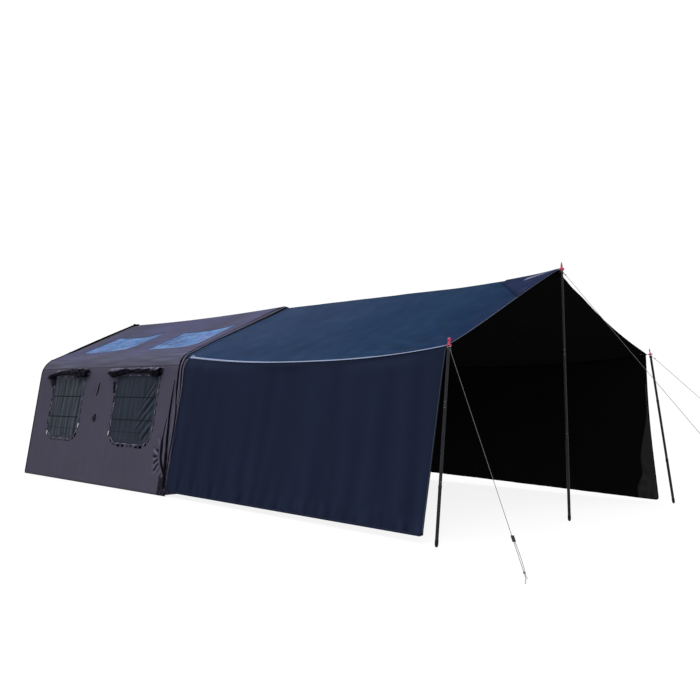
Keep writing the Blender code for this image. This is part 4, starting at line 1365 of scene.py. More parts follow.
def build_roof(name, side):
    """A roof slope with its two skylights, its seam tape and its edge binding."""
    surface = Surface(tent_face(side), roof_relief(21 + 5 * side), side)
    boxes = [skylight_box(place) for place in (SKYLIGHT_CENTRE, -SKYLIGHT_CENTRE)]
    cuts = [lambda a, b, box=box: skylight_distance(a, b, box) for box in boxes]
    grid = box_grid((-TENT_HALF, TENT_HALF, SEAM_HEIGHT, SECTION_RUN), 0.022, 0.020)
    roof = cloth(f"roof_cloth_{name}", surface, *grid, ["tent_roof", "inner"], "tent_roof", cuts)
    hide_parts(f"roof_{name}")
    seam = level_route(-TENT_HALF + 0.002, TENT_HALF - 0.002, SEAM_HEIGHT + 0.006, 0.025)
    pieces = [
        tape_on(f"eave_seam_{name}", surface, seam),
        rear_piping(f"roof_binding_{name}", side, SEAM_HEIGHT, SECTION_RUN - 0.002),
    ]
    for box, end in zip(boxes, ("rear", "front")):
        build_skylight(f"{name}_{end}", surface, box)


def build_skylight(name, roof, box):
    """A clear blue sheet, welded slackly into the roof, with a stitched edge."""

    def drawn_up(a, b):
        """The skylight's own coordinates turned into the roof's."""
        return roof.bare(a, b + front_lift(a, box))

    def relief(a, b):
        """The sheet sags between its edges and is puckered beside them."""
        inside = np.clip(-rounded_distance(a, b, box, SKYLIGHT_CORNERS) / 0.10, 0, 1)
        ripple = 0.006 * wave_field(a, b, 0.10, box[0] + 31, (0.35, 1.0))
        ripple += 0.005 * crease_field(a, b, 0.16, box[0] + 37, (0.4, 1.0))
        return roof.relief(a, b + front_lift(a, box)) - 0.0016 + ripple * inside

    surface = Surface(drawn_up, relief, roof.sign)
    sheet_box = grown(box, WINDOW_HEM)
    grid = box_grid(sheet_box, 0.016, 0.014)
    pane = cloth(f"skylight_cloth_{name}", surface, *grid, ["skylight"], "skylight", thickness=THIN_CLOTH)
    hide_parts(f"skylight_{name}")
    rim = [(y, s + float(front_lift(y, box))) for y, s in outline(box, SKYLIGHT_CORNERS, RIM_MARGIN)]
    edge = tape_on(f"skylight_edge_{name}", roof, rim, closed=True)


def gable_distance(x, z):
    """Distance to the tent's section in an end wall's plane, negative inside it."""
    x = np.abs(x)
    wall = (x - GROUND_HALF_WIDTH) * cos(WALL_LEAN) + z * sin(WALL_LEAN)
    slope = (z - RIDGE_HEIGHT) * cos(ROOF_SLOPE) + x * sin(ROOF_SLOPE)
    away_x, away_z = x + EAVE_CENTRE[0], z - EAVE_CENTRE[1]
    away = np.hypot(away_x, away_z)
    angle = np.arctan2(away_z, away_x)
    rounded = (angle > WALL_LEAN) & (angle < pi / 2 - ROOF_SLOPE) & (away > EAVE_RADIUS / 2)
    return np.where(rounded, away - EAVE_RADIUS, np.maximum(wall, slope))


def gable_area():
    """The area of the tent's section."""
    x, z = section(np.linspace(0, SECTION_RUN, 200)).T
    return -float(((x[1:] + x[:-1]) * np.diff(z)).sum())


def build_end_wall(name, y, sign, seed, box, corners):
    """An end wall of the tent with its opening, set just inside its edge and cut to the section."""

    def relief(a, b):
        height = 0.006 * wave_field(a, b, 0.8, seed) + 0.001 * wave_field(a, b, 0.20, seed + 1, (1.0, 0.5))
        height += 0.0005 * crease_field(a, b, 0.5, seed + 2, (1.0, 0.3))
        edge = smooth_step(-gable_distance(a, b) / 0.12)
        return (height - 0.003) * edge

    surface = Surface(lambda a, b: np.stack([a, y + 0 * a, b], axis=-1), relief, sign)
    cuts = [lambda a, b: -gable_distance(a, b) - 0.001, lambda a, b: rounded_distance(a, b, box, corners)]
    grid = box_grid((-GROUND_HALF_WIDTH, GROUND_HALF_WIDTH, GROUND_GAP, RIDGE_HEIGHT), 0.032, 0.032)
    wall = cloth(f"wall_cloth_{name}", surface, *grid, ["tent_wall", "inner"], "tent_wall", cuts)
    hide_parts(f"wall_{name}")
    hem = level_route(-GROUND_HALF_WIDTH + 0.02, GROUND_HALF_WIDTH - 0.02, 0.016, 0.04)
    gable_area() - prod(box_size(box))
    tape_on(f"wall_hem_{name}", surface, hem)
    return surface


def build_ends():
    """The front wall with its doorway and rolled door, and the rear wall with its window."""
    front = build_end_wall("front", -TENT_HALF + 0.004, 1, 41, DOOR_BOX, DOOR_CORNERS)
    tape_on("door_binding", front, outline(DOOR_BOX, DOOR_CORNERS, DOOR_RIM_MARGIN), closed=True)
    route = open_route(outline(DOOR_BOX, DOOR_CORNERS, DOOR_ZIP_MARGIN), DOOR_HIGH + 0.02)
    tape_on("door_zip_tape", front, route)
    tape_on("door_zip", front, route)
    build_slider("door_slider", front, route[8])
    top = DOOR_HIGH + DOOR_ROLL_RISE + 2 * DOOR_ROLL_RADIUS
    run = (-DOOR_ROLL_LENGTH / 2, DOOR_ROLL_LENGTH / 2)
    build_roll("door_cloth", front, run, top, DOOR_ROLL, DOOR_FLAT, "door_roll")
    build_ties("door_tie", front, run, top, DOOR_ROLL)
    rear = build_end_wall("rear", TENT_HALF - 0.004, -1, 47, window_box("middle"), WINDOW_CORNERS)
    build_window("rear", rear, "middle")


# Joining strip

# What is sewn along the strip, as rows of (place up the section, y, width)
# The zips' dark tapes are real zips, widened in places into the painted shade of their recesses
STRIP_LINES = {
    "wall_zip": (
        ((0.060, -1.957, 0.050), (0.105, -1.954, 0.052), (0.233, -1.939, 0.044), (0.326, -1.930, 0.044))
        + ((0.418, -1.918, 0.048), (0.557, -1.893, 0.050), (0.680, -1.876, 0.044), (0.811, -1.864, 0.036))
        + ((0.953, -1.849, 0.030), (1.173, -1.849, 0.018), (1.272, -1.851, 0.010), (1.355, -1.856, 0.004))
    ),
    "middle_zip": (
        ((0.003, -1.978, 0.008), (0.300, -1.976, 0.010), (0.458, -1.972, 0.014), (0.589, -1.984, 0.018))
        + ((0.814, -1.988, 0.022), (0.956, -1.985, 0.026), (1.178, -1.940, 0.034), (1.304, -1.923, 0.036))
        + ((1.495, -1.913, 0.034), (1.588, -1.876, 0.030), (1.659, -1.853, 0.024), (1.732, -1.846, 0.020))
        + ((1.871, -1.826, 0.016), (2.050, -1.822, 0.007), (2.600, -1.840, 0.005), (2.829, -1.860, 0.012))
        + ((2.995, -1.866, 0.020), (3.138, -1.895, 0.026), (3.300, -1.940, 0.028))
    ),
    "canopy_zip": (
        ((0.900, -2.012, 0.006), (1.178, -2.009, 0.016), (1.304, -2.000, 0.024), (1.443, -1.980, 0.028))
        + ((1.549, -1.966, 0.028), (1.650, -1.948, 0.028), (1.800, -1.946, 0.026), (1.996, -1.925, 0.030))
        + ((2.110, -1.922, 0.036), (2.234, -1.945, 0.040), (2.425, -1.962, 0.042), (2.840, -1.980, 0.042))
        + ((3.053, -1.994, 0.034), (3.300, -1.986, 0.028))
    ),
    "piping": (
        ((1.050, -1.975, 0.004), (1.178, -1.966, 0.014), (1.304, -1.960, 0.020), (1.450, -1.945, 0.022))
        + ((1.550, -1.936, 0.024), (1.630, -1.908, 0.026), (1.720, -1.896, 0.026), (1.850, -1.886, 0.020))
        + ((2.000, -1.880, 0.010), (2.650, -1.905, 0.008), (2.900, -1.915, 0.020), (3.100, -1.945, 0.022))
        + ((3.300, -1.962, 0.018),)
    ),
    "canopy_piping": (
        ((0.820, -2.008, 0.004), (1.178, -2.026, 0.010), (1.304, -2.020, 0.014), (1.430, -2.003, 0.016))
        + ((1.520, -1.993, 0.012), (1.600, -1.975, 0.005))
    ),
}

# Where the canopy's cloth laps over the strip: look, and its edge as (place up the section, y)
STRIP_COVER_EDGES = {
    "low": ("canopy_wall", ((0.08, -1.990), (0.30, -1.995), (0.45, -2.005), (0.60, -2.035), (0.75, -2.090))),
    "high": (
        "canopy_roof",
        ((1.62, -1.960), (1.80, -1.946), (1.996, -1.925), (2.11, -1.922), (2.234, -1.945))
        + ((2.425, -1.962), (2.84, -1.980), (3.053, -1.994), (SECTION_RUN - 0.002, -1.986)),
    ),
}

# The loose guard's free edge as (place up the wall, y, width of the painted shadow line along it)
GUARD_EDGE = (
    (0.225, -1.935, 0.030),
    (0.276, -1.898, 0.034),
    (0.366, -1.836, 0.046),
    (0.458, -1.803, 0.056),
    (0.551, -1.792, 0.058),
    (0.617, -1.788, 0.046),
    (0.713, -1.792, 0.026),
    (0.818, -1.802, 0.016),
    (0.900, -1.812, 0.004),
)


def arch_face(y, p):
    """The strip's outer face: p runs over the arch, from the left foot through zero at the ridge."""
    s = SECTION_RUN - np.abs(p)
    flat = section(s)
    k = np.clip((-TENT_HALF - y) / STRIP_WIDTH, 0, 1)
    z = flat[..., 1] + RIDGE_FRONT_LIFT * (1 - k) * slope_share(s)
    return np.stack([np.where(p < 0, 1, -1) * flat[..., 0], y + 0 * z, z], axis=-1)


def strip_relief(y, p):
    """A band puffed out a little between its two zips, puckered along them."""
    middle = np.clip((-TENT_HALF - y) / STRIP_WIDTH, 0, 1)
    inside = smooth_step(8 * middle * (1 - middle))
    height = 0.003 * inside + 0.002 * inside * wave_field(y, p, 0.05, 61, (1.0, 0.5))
    low = smooth_step((np.abs(p) - SECTION_RUN + 0.55) / 0.5)
    return height + 0.005 * inside * low * wave_field(y, p, 0.045, 67, (1.0, 0.8))


def build_joining_strip():
    """The band between tent and canopy, its zips and piping, and the loose guard over its foot."""
    surface = Surface(arch_face, strip_relief, -1)
    grid = box_grid((CANOPY_BACK, -TENT_HALF, -SECTION_RUN + 0.002, SECTION_RUN - 0.002), 0.0085, 0.018)
    cuts = [lambda y, p: SECTION_RUN + 0.020 - np.abs(p) - 0.095 * smooth_step((-2.0 - y) / 0.09)]
    band = cloth("strip_cloth", surface, *grid, ["strip", "inner"], "joining_strip", cuts)
    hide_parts("joining_strip")
    for side_name, side in SIDES.items():
        for name, rows in STRIP_LINES.items():
            s = spaced(rows[0][0], min(rows[-1][0], SECTION_RUN - 0.001), 0.02)
            places, widths = from_rows(rows, s)
            route = list(zip(places, side * (SECTION_RUN - s)))
            tape_on(f"strip_{name}_{side_name}", surface, route, widths)
        for part, (look, rows) in STRIP_COVER_EDGES.items():
            s = spaced(rows[0][0], rows[-1][0], 0.02)[:: -side, None]
            back = CANOPY_BACK + 0.002
            y = back + (from_rows(rows, s)[0] - back) * np.linspace(0, 1, 8)
            p = side * (SECTION_RUN - s) + 0 * y
            patch_on(f"strip_cover_{part}_{side_name}", surface, y, p, look)
    for name, side in SIDES.items():
        build_strip_guard(name, side)
        build_strip_gather(name, side)


def build_strip_guard(name, side):
    """A guard flap that has come loose low down, with a painted shadow line along its free edge."""
    wall = side_wall(side)
    s = spaced(GUARD_EDGE[0][0], GUARD_EDGE[-1][0], 0.015)
    edge, widths = from_rows(GUARD_EDGE, s)
    inner = np.minimum(edge - 0.004, 0.004 - TENT_HALF)
    shares = np.linspace(0, 1, 9)[None, :]
    y = inner[:, None] * (1 - shares) + edge[:, None] * shares
    up = s[:, None] + 0 * y
    lift = 0.003 + 0.007 * np.sin(pi * shares * 0.7) + 0.003 * shares * wave_field(y, up, 0.08, 97)
    patch_on(f"strip_guard_{name}", wall, y, up, "tent_wall", lift)
    tape_on(f"strip_guard_edge_{name}", wall, list(zip(edge, s)), widths)


def build_strip_gather(name, side):
    """The cloth gathered at the strip's foot, near black as painted shade of the gathered folds."""
    shares = np.linspace(0, 1, 26)[None, :]
    b = np.linspace(0.001, 1, 16)[:: -side, None]
    a = GATHER_FRONT + GATHER_LENGTH * shares + 0 * b
    top = 0.070 + 0.140 * smooth_step((a + 2.03) / 0.10)
    foot = 0.008 + 0.042 * smooth_step((-2.0 - a) / 0.08)
    up = foot + (top - foot) * b
    swell = (4 * shares * (1 - shares)) ** 0.6 * (1 - b**2) ** 0.7
    low = smooth_step((0.120 - up) / 0.07)
    lumps = 0.7 + 0.9 * wave_field(a, up, 0.035, 101) + 0.5 * crease_field(a, up, 0.05, 103)
    lift = 0.004 + swell * (0.006 + 0.024 * low) * lumps.clip(0, 1.5)
    strip = Surface(arch_face, flat_relief, -1)
    patch_on(f"strip_gather_{name}", strip, a, side * (SECTION_RUN - up), "gather", lift)


# Canopy


def canopy_share(y):
    """Zero at the tent, one at the canopy's front."""
    return np.clip((CANOPY_BACK - y) / CANOPY_LENGTH, 0, 1)


def canopy_eave(t, side):
    """Half width and height of the canopy's eave at a share of its length."""
    back = section(np.array(EAVE_START))
    front = np.where(side < 0, CANOPY_EAVE_HALF_FRONT[-1], CANOPY_EAVE_HALF_FRONT[1])
    sag = EAVE_SAG * (1 - np.abs(2 * t**1.1 - 1) ** 2.4)
    return -back[0] * (1 - t) + front * t, back[1] * (1 - t) + CANOPY_EAVE_FRONT * t - sag


def front_sag(q, t, side):
    """How far the canopy roof hangs below a straight line from eave (q = 0) to ridge (q = 1)."""
    near = 0.055 * 4 * q * (1 - q) * (1 - 0.78 * q)
    slack = 0.036 * np.exp(-(((q - 0.89) / 0.12) ** 2)) + 0.036 * np.exp(-(((1 - q) / 0.06) ** 2))
    far = 0.030 * 4 * q * (1 - q) + slack * smooth_step((1 - q) / 0.02) * t**10
    return np.where(side < 0, near, far) * smooth_step(t)


def rounding(low, high, share, t):
    """How far the tent's rounded eave stands out of a line between two places, fading along the canopy."""
    start, end = section(low), section(high)
    arc = section(low + share * (high - low))
    left = 1 - smooth_step(2.5 * t)
    return (arc - start - (end - start) * share[..., None]) * left[..., None]


def canopy_roof_face(y, b):
    """The canopy roof's outer face: b runs from the left eave through zero at the ridge."""
    t = canopy_share(y)
    q = 1 - np.abs(b) / CANOPY_SLOPE
    side = np.where(b < 0, -1, 1)
    half, eave = canopy_eave(t, side)
    rise = CANOPY_RIDGE_FRONT - RIDGE_HEIGHT - RIDGE_LIFT
    ridge = RIDGE_HEIGHT + RIDGE_LIFT * t + rise * t**RIDGE_RISE_POWER
    bulge = rounding(EAVE_START, SECTION_RUN, q, t)
    x = half * (1 - q) - bulge[..., 0]
    z = eave * (1 - q) + ridge * q - front_sag(q, t, side) + bulge[..., 1]
    bow = FRONT_EDGE_BOW * 4 * q * (1 - q) * t**FRONT_BOW_POWER
    return np.stack([side * x, y + bow, z], axis=-1)


# Creases of the canopy roof from its front corners, as (y and b where each ends, height)
CORNER_CREASES = ((-4.9, 1.2, 0.003), (-5.1, 0.8, 0.002), (-4.6, 1.5, 0.0025))


def canopy_roof_relief(y, b):
    """Broad soft waves, and faint creases that run to the corners."""
    t = canopy_share(y)
    height = 0.007 * wave_field(y, b, 0.9, 71) + 0.0025 * wave_field(y, b, 0.25, 73)
    for sign in (-1, 1):
        for end_y, end_b, tall in CORNER_CREASES:
            height += fold(y, b, (CANOPY_FRONT, sign * CANOPY_SLOPE), (end_y, sign * end_b), 0.035, tall)
    sides = smooth_step((CANOPY_SLOPE - np.abs(b)) / 0.05)
    return height * sides * smooth_step((1.001 - t) * 12) * smooth_step(t * 30)


# The canopy roof's outer face, which the walls hang from and the poles hold up
CANOPY_ROOF = Surface(canopy_roof_face, canopy_roof_relief, -1)


def canopy_wall_face(side):
    """A canopy wall's outer face: s runs up from the hem, nearly to the eave."""
    hem_run = CANOPY_HEM / cos(WALL_LEAN)

    def place(y, s):
        t = canopy_share(y)
        share = s / CANOPY_DROP
        half, eave = canopy_eave(t, side)
        low = CANOPY_HEM + HEM_RISE_BACK[side] * (1 - t) + HEM_DROP_FRONT[side] * t
        foot = -section(hem_run)[0] * (1 - t) + CANOPY_FOOT_HALF_FRONT[side] * t
        bulge = rounding(hem_run, EAVE_START, share, t)
        middle = 4 * share * (1 - share)
        x = foot * (1 - share) + half * share - bulge[..., 0] - WALL_EDGE_PULL * middle * smooth_step(t)
        z = low * (1 - share) + (eave + EAVE_OVERLAP) * share + bulge[..., 1]
        bow = WALL_EDGE_BOW * middle if side < 0 else FAR_EDGE_BOW * smooth_step(share / 0.8)
        return np.stack([side * x, y + bow * t**WALL_BOW_POWER, z], axis=-1)

    return place


def canopy_wall_relief(seed):
    """Hanging cloth: soft upright folds that deepen towards the hem and the front."""

    def relief(y, s):
        t = canopy_share(y)
        height = 0.010 * wave_field(y, s, 0.9, seed)
        height += 0.006 * wave_field(y, s, 0.22, seed + 1, (1.0, 0.15)) * (0.3 + 0.7 * (1 - s / CANOPY_DROP))
        height += 0.004 * wave_field(y, s, 0.07, seed + 2, (1.0, 0.3)) * smooth_step((0.25 - s) / 0.25)
        return height * smooth_step((CANOPY_DROP - s) / 0.08) * smooth_step(t * 30) - EAVE_TUCK

    return relief


def build_canopy_roof():
    """The canopy's roof, with its hem, the eave webbing and the patches at the ridge."""
    box = (ROOF_FRONT, CANOPY_BACK, -CANOPY_SLOPE, CANOPY_SLOPE)
    corner_box = (ROOF_FRONT, BEYOND, -CANOPY_SLOPE, CANOPY_SLOPE)
    cuts = [lambda a, b: -rounded_distance(a, b, corner_box, (0.05, 0.05))]
    looks = ["canopy_roof", "inner"]
    sheet = cloth("canopy_roof_cloth", CANOPY_ROOF, *box_grid(box, 0.030, 0.030), looks, "canopy_roof", cuts)
    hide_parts("canopy_roof")
    pieces = []
    for name, side in SIDES.items():
        eave = level_route(ROOF_FRONT + 0.016, CANOPY_BACK - 0.01, side * (CANOPY_SLOPE - 0.009))
        pieces.append(tape_on(f"eave_webbing_{name}", CANOPY_ROOF, eave))
        hem = [(ROOF_FRONT + 0.008, side * b) for b in spaced(0.03, CANOPY_SLOPE - 0.05)]
        pieces.append(tape_on(f"front_hem_{name}", CANOPY_ROOF, hem))
        pieces += build_roof_patches(name, side)


def build_roof_patches(name, side):
    """Reinforcing cloth at the peak, with its light tail, and at the eave's start."""
    shares = np.linspace(0, 1, 24)
    across = np.linspace(0, 1, 7)[:: side, None]
    peak_y = ROOF_FRONT + 0.012 + 0.62 * shares + 0 * across
    peak = side * (0.004 + 0.54 * (1 - shares) * across + 0.08 * across)
    tail_y = ROOF_FRONT + 0.06 + 0.26 * shares + 0 * across
    tail = side * (0.012 + 0.060 * shares + (0.012 + 0.070 * shares) * across)
    start_y = CANOPY_BACK - 0.012 - 0.15 * shares[::-1] + 0 * across
    start = side * (CANOPY_SLOPE - 0.012 - 0.048 * shares * (1 - across))
    grids = {
        "peak_patch": (peak_y, peak, "peak_patch", 0.0055),
        "peak_tail": (tail_y, tail, "ridge_patch", 0.0070),
        "eave_patch": (start_y, start, "ridge_patch", 0.001),
    }
    return [
        patch_on(f"{patch}_{name}", CANOPY_ROOF, y, b, look, lift)
        for patch, (y, b, look, lift) in grids.items()
    ]


def build_canopy_wall(name, side):
    """A canopy wall with its hems."""
    surface = Surface(canopy_wall_face(side), canopy_wall_relief(83 + 4 * side), side)
    front = CANOPY_FRONT + WALL_SETBACK[side]
    grid = box_grid((front, CANOPY_BACK, 0, CANOPY_DROP), 0.031, 0.031)
    cuts = [lambda a, b: -rounded_distance(a, b, (front, BEYOND, 0.0, BEYOND), (0.03, 0.03))]
    looks = ["canopy_wall", "inner"]
    wall = cloth(f"canopy_wall_cloth_{name}", surface, *grid, looks, "canopy_wall", cuts)
    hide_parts(f"canopy_wall_{name}")
    trims = [
        tape_on(f"canopy_hem_{name}", surface, level_route(front + 0.03, CANOPY_BACK - 0.01, 0.012)),
        tape_on(f"canopy_edge_{name}", surface, upright_route(front + 0.006, 0.03, CANOPY_DROP - 0.02)),
        build_inner_hem(name, surface, front),
    ]


def build_inner_hem(name, wall, front):
    """The outer cloth turned in along a canopy wall's front edge, wider and crumpled at its foot; its grey is
    partly painted light along the lit edge.
    """
    shares = np.linspace(0, 1, 10)[None, :]
    s = spaced(0.012, 1.25, 0.02)[::-1, None]
    wide = 0.02 + 0.13 * smooth_step((1.0 - s) / 0.6) + 0.08 * smooth_step((0.30 - s) / 0.2)
    y = front + 0.004 + wide * shares
    up = s + 0 * y
    crumple = wave_field(y, up, 0.06, 107, (1.0, 0.6)) * smooth_step((0.5 - up) / 0.3)
    lift = -0.006 - 0.005 * (1 + crumple)
    return patch_on(f"canopy_inner_hem_{name}", wall, y, up, "inner_hem", lift)


# Poles, caps, ropes and pegs

# Turned profiles as (radius, height): a pole's boot, its spring button, a cap's collar, an eyelet's ring
BOOT = ((0.0, 0.0005), (0.006, 0.001), (0.0095, 0.005), (0.0135, 0.014), (0.0152, 0.030), (0.0150, 0.052))
BUTTON = ((0.0050, 0.0), (0.0050, 0.002), (0.0036, 0.0040), (0.0, 0.0046))
COLLAR = ((0.0052, 0.0), (0.0140, 0.001), (0.0150, 0.004), (0.0150, 0.022), (0.0138, 0.0245), (0.0052, 0.025))
EYELET = ((0.0062, 0.0), (0.0110, 0.0), (0.0118, 0.002), (0.0110, 0.0042), (0.0062, 0.0042), (0.0062, 0.0))

# Each cap above its flange as (radius, height), and how high the pole's spike stands if it shows
CAPS = {
    "left": (
        ((0.0165, 0.0115), (0.0120, 0.016), (0.0108, 0.028), (0.0104, 0.036), (0.0112, 0.042))
        + ((0.0136, 0.0480), (0.0142, 0.055), (0.0140, 0.060), (0.0118, 0.0665), (0.0070, 0.0700))
        + ((0.0, 0.0710),),
        None,
    ),
    "centre": (
        ((0.0165, 0.0240), (0.0110, 0.0290), (0.0096, 0.040), (0.0092, 0.059), (0.0086, 0.0605))
        + ((0.0062, 0.0605), (0.0056, 0.0590), (0.0055, 0.050)),
        0.081,
    ),
    "right": (
        ((0.0160, 0.0135), (0.0105, 0.0165), (0.0095, 0.0185), (0.0090, 0.0195), (0.0072, 0.0195))
        + ((0.0066, 0.0190), (0.0062, 0.014)),
        0.064,
    ),
}


def node_points(node):
    """A CAD node's points, in the frame's axes."""
    thing = NODES[node]
    values = np.empty(len(thing.data.vertices) * 3)
    thing.data.vertices.foreach_get("co", values)
    matrix = np.array(thing.matrix_world)
    return values.reshape(-1, 3) @ matrix[:3, :3].T + matrix[:3, 3]


def axis_of(node):
    """A turned node's lowest point on its axis, the direction up it, and its length."""
    points = np.unique(np.round(node_points(node), 6), axis=0)
    centre = points.mean(axis=0)
    direction = np.linalg.svd(points - centre)[2][0]
    direction = direction if direction[2] > 0 else -direction
    reach = (points - centre) @ direction
    return centre + direction * reach.min(), direction, reach.max() - reach.min()


def reach_of(node, axis):
    """How far along an axis a node starts and ends."""
    reach = (node_points(node) - axis[0]) @ axis[1]
    return reach.min(), reach.max()


def pole_axis(name):
    """A pole's lowest point on its axis and its direction, set over a little to the photograph's."""
    foot, direction, _ = axis_of(f"pole_{name}_lower")
    height = reach_of(f"pole_cap_{name}", (foot, direction))[0]
    level = np.array((cos(CAMERA_YAW), -sin(CAMERA_YAW), 0.0))
    high, low = POLE_SHIFTS[name]
    top = foot + direction * height + level * high
    foot = foot + level * low
    return foot, unit(top - foot)


def cap_seat(name):
    """The underside of a cap's flange on the pole's axis, and the direction up it."""
    foot, direction = pole_axis(name)
    start = reach_of(f"pole_cap_{name}", (foot, direction))[0]
    return foot + direction * (start - CAP_SEATS[name]), direction


def build_poles():
    """Steel poles in three sections, with their feet, joints, spikes and caps."""
    low, middle, high = POLE_RADII
    for name in POLES:
        axis = pole_axis(name)
        first, second = [reach_of(f"pole_{name}_{part}", axis)[0] for part in ("middle", "upper")]
        seat = cap_seat(name)
        shoulder = (seat[0] - axis[0]) @ axis[1] - SHOULDER_DROP
        sections = {
            "lower": [(0.0, 0.008), (low - 0.003, 0.008), (low, 0.011)] + swelling(low, first),
            "middle": [(middle, first + SECTION_GAP), (middle, first + 0.02)] + swelling(middle, second),
            "upper": [(high, second + SECTION_GAP), (high, shoulder - 0.004), (high - 0.004, shoulder)]
            + [(0.005, shoulder + 0.001), (0.005, shoulder + 0.05), (0.0, shoulder + 0.052)],
        }
        for part, profile in sections.items():
            piece = turned(f"pole_tube_{name}_{part}", axis, profile, "pole")
            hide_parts(f"pole_{name}_{part}")
        turned(f"pole_foot_{name}", axis, (*BOOT, (low, 0.056)), "rubber")
        buttons = ((first + BUTTON_GAP, middle), (second + BUTTON_GAP, high), (second - BUTTON_GAP, middle))
        for number, (height, radius) in enumerate(buttons):
            build_button(f"pole_button_{name}_{number}", axis, height, radius)
        build_cap(name, seat)


def swelling(radius, top):
    """The end of a tube section, swaged wider over the next one."""
    steps = ((0.0, -0.030), (0.0012, -0.026), (0.0014, -0.004), (0.0, 0.0))
    return [(radius + wider, top + rise) for wider, rise in steps]


def build_button(name, axis, height, radius):
    """A spring button that locks two tube sections."""
    origin, direction = axis
    out = unit(np.cross(direction, (-0.55, 0.83, 0.0)))
    turned(name, (origin + direction * height + out * (radius - 0.001), out), BUTTON, "spike", 16)


def build_cap(name, axis):
    """A red plastic cap: a flange, a neck, and a knob or an open top with the pole's spike through it."""
    above, spike_top = CAPS[name]
    thick = above[0][1] - 0.0015
    flange = ((0.0060, 0.0), (0.0190, 0.0), (0.0238, 0.0030), (0.0240, thick - 0.0030), (0.0225, thick))
    cap = turned(f"cap_{name}", axis, flange + above, "cap", 48)
    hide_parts(f"pole_cap_{name}")
    if spike_top:
        spike = [(0.0054, 0.0), (0.0054, spike_top - 0.008), (0.0048, spike_top - 0.003)]
        spike += [(0.0030, spike_top - 0.0005), (0.0, spike_top)]
        turned(f"spike_{name}", axis, spike, "spike", 24)
    turned(f"cap_collar_{name}", (axis[0] - axis[1] * SHOULDER_DROP, axis[1]), COLLAR, "pole", 48)


def build_ropes():
    """Taut guy ropes from the caps to their pegs, doubled below a runner."""
    for name in POLES:
        low = axis_of(f"guy_rope_{name}")[0]
        seat, upright = cap_seat(name)
        out = unit(np.cross(np.cross(upright, low - seat), upright))
        top = seat - upright * ROPE_DROP + out * 0.011
        direction = unit(top - low)
        side = unit(np.cross(direction, (0.0, 0.0, 1.0)))
        runner = low + direction * RUNNER_REACH
        steps = np.linspace(0, 1, 40)[:, None]
        high = top - direction * ROPE_START_AWAY
        rope = tube(f"rope_{name}", high + (low - high) * steps, ROPE_RADIUS, "rope", 12)
        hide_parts(f"guy_rope_{name}")
        bow = np.sin(pi * steps) * 0.006 + 0.0062
        second = runner + (low - runner) * steps + side * bow
        tube(f"rope_second_{name}", second, ROPE_RADIUS, "rope", 12)
        build_runner(name, runner, direction, side)
        build_knot(f"rope_knot_peg_{name}", low + direction * PEG_KNOT_AWAY, direction, side)
        knot = top - direction * KNOT_AWAY
        build_knot(f"rope_knot_cap_{name}", knot, direction, side)
        build_rope_loop(name, knot, side)
        peg = NODES[f"peg_{name}"]
        for index in range(len(peg.data.materials)):
            peg.data.materials[index] = LOOKS["peg"]


def build_runner(name, seat, direction, side):
    """The slider that sets the rope's length: a short plate with the rope through it."""
    plate = [seat + side * 0.004 + direction * reach for reach in (-0.024, -0.018, 0.0, 0.018, 0.024)]
    normals = [np.cross(side, direction)] * len(plate)
    ribbon(f"rope_runner_{name}", plate, normals, 0.022, 0.004, "toggle")
    under = [point - np.cross(side, direction) * 0.004 for point in plate]
    ribbon(f"rope_runner_back_{name}", under, normals, 0.022, 0.004, "toggle")


def build_knot(name, centre, direction, side):
    """A knot: two turns of the rope round itself."""
    normal = np.cross(side, direction)
    points = []
    for step in range(26):
        angle = 2 * pi * step / 13
        points.append(centre + swung(side, normal, angle) * 0.0052 + direction * (step - 12.5) * 0.0007)
    tube(name, points, BENT_ROPE_RADIUS, "rope", 10)


def build_rope_loop(name, knot, side):
    """The loop from the upper knot round the pole under its cap."""
    seat, upright = cap_seat(name)
    centre = seat - upright * ROPE_DROP
    out = knot - centre
    out = unit(out - upright * (out @ upright))
    across = np.cross(upright, out)
    turns = np.linspace(radians(75), radians(285), 17)[:, None]
    around = centre + swung(out, across, turns) * LOOP_RADIUS
    if side @ across <= 0:
        around = around[::-1]
    loop = np.concatenate([[knot + side * 0.002], around, [knot - side * 0.002]])
    tube(f"rope_loop_{name}", loop, BENT_ROPE_RADIUS, "rope", 10)


# Where each pole's tab is sewn on the canopy roof, across it
TAB_PLACES = {"left": -CANOPY_SLOPE + 0.03, "centre": -0.006, "right": CANOPY_SLOPE - 0.03}


def build_corner_tabs():
    """Webbing tabs with eyelets that hold the canopy's corners on the spikes."""
    for name, place in TAB_PLACES.items():
        seat, direction = cap_seat(name)
        eye = seat - direction * 0.0050
        start = CANOPY_ROOF.at(np.array(ROOF_FRONT + 0.075), np.array(place))
        shares = np.linspace(0, 1, 9)[:, None]
        end = eye + unit(eye - start) * 0.014
        points = start + (end - start) * shares + np.array((0, 0, 0.003)) * np.sin(pi * shares)
        normals = np.tile(direction, (len(points), 1))
        ribbon(f"corner_tab_{name}", points, normals, 0.022, 0.002, "canopy_webbing")
        turned(f"eyelet_{name}", (eye - direction * 0.001, direction), EYELET, "metal", 32)


# Air frame and groundsheet


